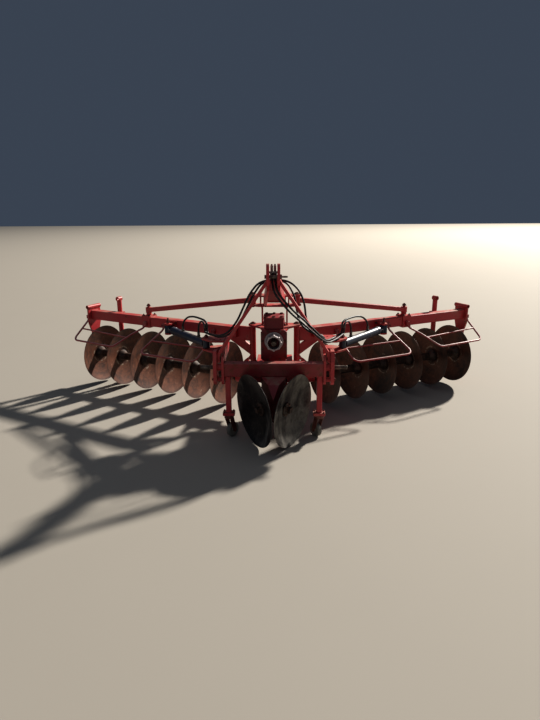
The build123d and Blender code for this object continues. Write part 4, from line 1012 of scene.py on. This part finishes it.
class AddWelds(bpy.types.Operator):
    """Weld beads where plates, tubes and lugs are joined"""

    bl_idname = "plough.add_welds"
    bl_label = "Add welds"

    def execute(self, context):
        sizes = context.scene.plough_fasteners
        values = {"Radius": sizes.weld, "Pitch": sizes.pitch, "Material": finishes()["weld"]}
        tree = weld_tree()

        def weld(name, runs, body):
            applied(name, run_mesh(name, runs), tree, values, body)

        runs = [[head_point(*spot) for spot in run] for run in HEAD_WELDS]
        runs += [[mirrored(spot, -1) for spot in run] for run in runs]
        weld("headstock_welds", runs, "headstock")
        for side, sign in SIDES:
            runs = [[mirrored(wing_point(*spot), sign) for spot in run] for run in WING_WELDS]
            weld(f"{side}_wing_welds", runs, f"{side}_wing")
        return {"FINISHED"}


class AddFittings(bpy.types.Operator):
    """Nuts and crimped ferrules on the ends of the hoses"""

    bl_idname = "plough.add_fittings"
    bl_label = "Add hose fittings"

    def execute(self, context):
        ferrule = context.scene.plough_fasteners.ferrule
        look = finishes()["zinc"]

        def fit(name, prefix, places, body):
            joined(name, fitting_meshes(prefix, places, ferrule), body, look)

        places = [
            (mirrored(head_point(x, back, z), sign), Vector(way), crimped)
            for x, back, z, way, crimped, signs in HEAD_FITTINGS for sign in signs
        ]
        fit("headstock_fittings", "headstock", places, "headstock")
        for side, sign in SIDES:
            places = []
            for distance, beside, z, way, crimped in BARREL_FITTINGS:
                spot = CYLINDER_BASE + CYLINDER_WAY * (distance / 1000)
                spot += CYLINDER_SIDE * (beside / 1000)
                spot.z = z / 1000
                places.append((mirrored(spot, sign), Vector(way), crimped))
            fit(f"{side}_barrel_fittings", side, places, f"{side}_barrel")
        return {"FINISHED"}


# Studio: floor's reach, colour and strength of the sky, and the photograph's camera
FLOOR_REACH = 40.0
SKY_COLOUR = (0.56, 0.72, 1.0)
SKY_STRENGTH = 0.09
TOP_POWER = 20.0
CAMERA_PLACE = (0.068, HITCH_Y - 3.56, 1.6)
CAMERA_YAW = math.radians(-1.5)
CAMERA_PITCH = math.radians(16.1)
CAMERA_ROLL = math.radians(0.4)
SENSOR_WIDTH = 36.0
CLIP_END = 200.0


def lay_floor(tint):
    """Pale floor with a faint cloudy stain."""
    g = Graph("pale_floor")
    grain = g.noise(2.0, 5.0, 0.55)
    colour = g.blend(grain * 0.35, tint, scaled(tint, 0.92))
    mesh = bpy.data.meshes.new("floor")
    corners = ((-1, -1), (1, -1), (1, 1), (-1, 1))
    points = [(FLOOR_REACH * x, FLOOR_REACH * y, 0) for x, y in corners]
    mesh.from_pydata(points, [], [(0, 1, 2, 3)])
    mesh.materials.append(g.finish(colour, 0.85, 0.0))
    linked("floor", mesh)


def hang_light(name, place, aim, power, width, height, colour):
    """Soft rectangular light that points from its place at its aim."""
    lamp = bpy.data.lights.new(name, "AREA")
    lamp.shape, lamp.size, lamp.size_y = "RECTANGLE", width, height
    lamp.energy, lamp.color = power, colour
    light = linked(name, lamp)
    light.location = place
    light.rotation_mode = "QUATERNION"
    light.rotation_quaternion = (Vector(aim) - Vector(place)).to_track_quat("-Z", "Y")


def aim_camera(focal_length):
    """Camera where the photograph was taken from."""
    ahead = Vector((
        math.sin(CAMERA_YAW) * math.cos(CAMERA_PITCH),
        math.cos(CAMERA_YAW) * math.cos(CAMERA_PITCH),
        -math.sin(CAMERA_PITCH),
    ))
    level = Vector((math.cos(CAMERA_YAW), -math.sin(CAMERA_YAW), 0))
    top = level.cross(ahead)
    right = level * math.cos(CAMERA_ROLL) - top * math.sin(CAMERA_ROLL)
    upward = level * math.sin(CAMERA_ROLL) + top * math.cos(CAMERA_ROLL)
    lens = bpy.data.cameras.new("view")
    lens.lens, lens.sensor_width, lens.clip_end = focal_length, SENSOR_WIDTH, CLIP_END
    camera = linked("view", lens)
    turn = Matrix((right, upward, -ahead)).transposed()
    camera.matrix_world = Matrix.Translation(CAMERA_PLACE) @ turn.to_4x4()
    bpy.context.scene.camera = camera


class SetStage(bpy.types.Operator):
    """Pale floor, soft studio lights and the camera"""

    bl_idname = "plough.set_stage"
    bl_label = "Set the stage"

    def execute(self, context):
        scene = context.scene
        studio = scene.plough_studio
        lay_floor(tuple(studio.floor))

        world = bpy.data.worlds.new("studio")
        world.use_nodes = True
        background = world.node_tree.nodes["Background"]
        background.inputs["Color"].default_value = shade(SKY_COLOUR)
        background.inputs["Strength"].default_value = SKY_STRENGTH
        scene.world = world
        scene.view_settings.view_transform = "Standard"
        scene.view_settings.look = "Medium High Contrast"

        # Lights: name, place, aim, power, width, height, colour
        key, fill = studio.key_power, studio.fill_power
        lights = (
            ("key", (27.6, 29.4, 26.2), (0, 0, 0.4), key, 2.4, 2.4, (1.0, 0.95, 0.87)),
            ("front_fill", (-1.8, -5.6, 3.6), (0, -0.2, 0.4), fill, 5.0, 3.5, (0.95, 0.97, 1.0)),
            ("top", (0, 0, 5.0), (0, 0, 0), TOP_POWER, 5.0, 5.0, (1.0, 1.0, 1.0)),
        )
        for light in lights:
            hang_light(*light)
        aim_camera(studio.lens)
        return {"FINISHED"}


STEPS = (PaintFrame, AddFasteners, AddWelds, AddFittings, SetStage)
GROUPS = (
    ("plough_colours", PloughColours),
    ("plough_fasteners", FastenerSizes),
    ("plough_studio", StudioSettings),
)


class PloughPanel(bpy.types.Panel):
    """Steps and settings of the plough's finish"""

    bl_idname = "VIEW3D_PT_plough"
    bl_label = "Disc plough"
    bl_space_type = "VIEW_3D"
    bl_region_type = "UI"
    bl_category = "Plough"

    def draw(self, context):
        for step in STEPS:
            self.layout.operator(step.bl_idname)
        for attribute, group in GROUPS:
            box = self.layout.box()
            for name in group.__annotations__:
                box.prop(getattr(context.scene, attribute), name)


def register():
    for attribute, group in GROUPS:
        bpy.utils.register_class(group)
        setattr(bpy.types.Scene, attribute, bpy.props.PointerProperty(type=group))
    for step in (*STEPS, PloughPanel):
        bpy.utils.register_class(step)


def unregister():
    for step in (PloughPanel, *reversed(STEPS)):
        bpy.utils.unregister_class(step)
    for attribute, group in reversed(GROUPS):
        delattr(bpy.types.Scene, attribute)
        bpy.utils.unregister_class(group)


def main():
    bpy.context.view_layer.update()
    register()
    bpy.ops.plough.set_stage()
    bpy.ops.plough.paint_frame()
    bpy.ops.plough.add_fasteners()
    bpy.ops.plough.add_welds()
    bpy.ops.plough.add_fittings()


if __name__ == "__main__":
    main()
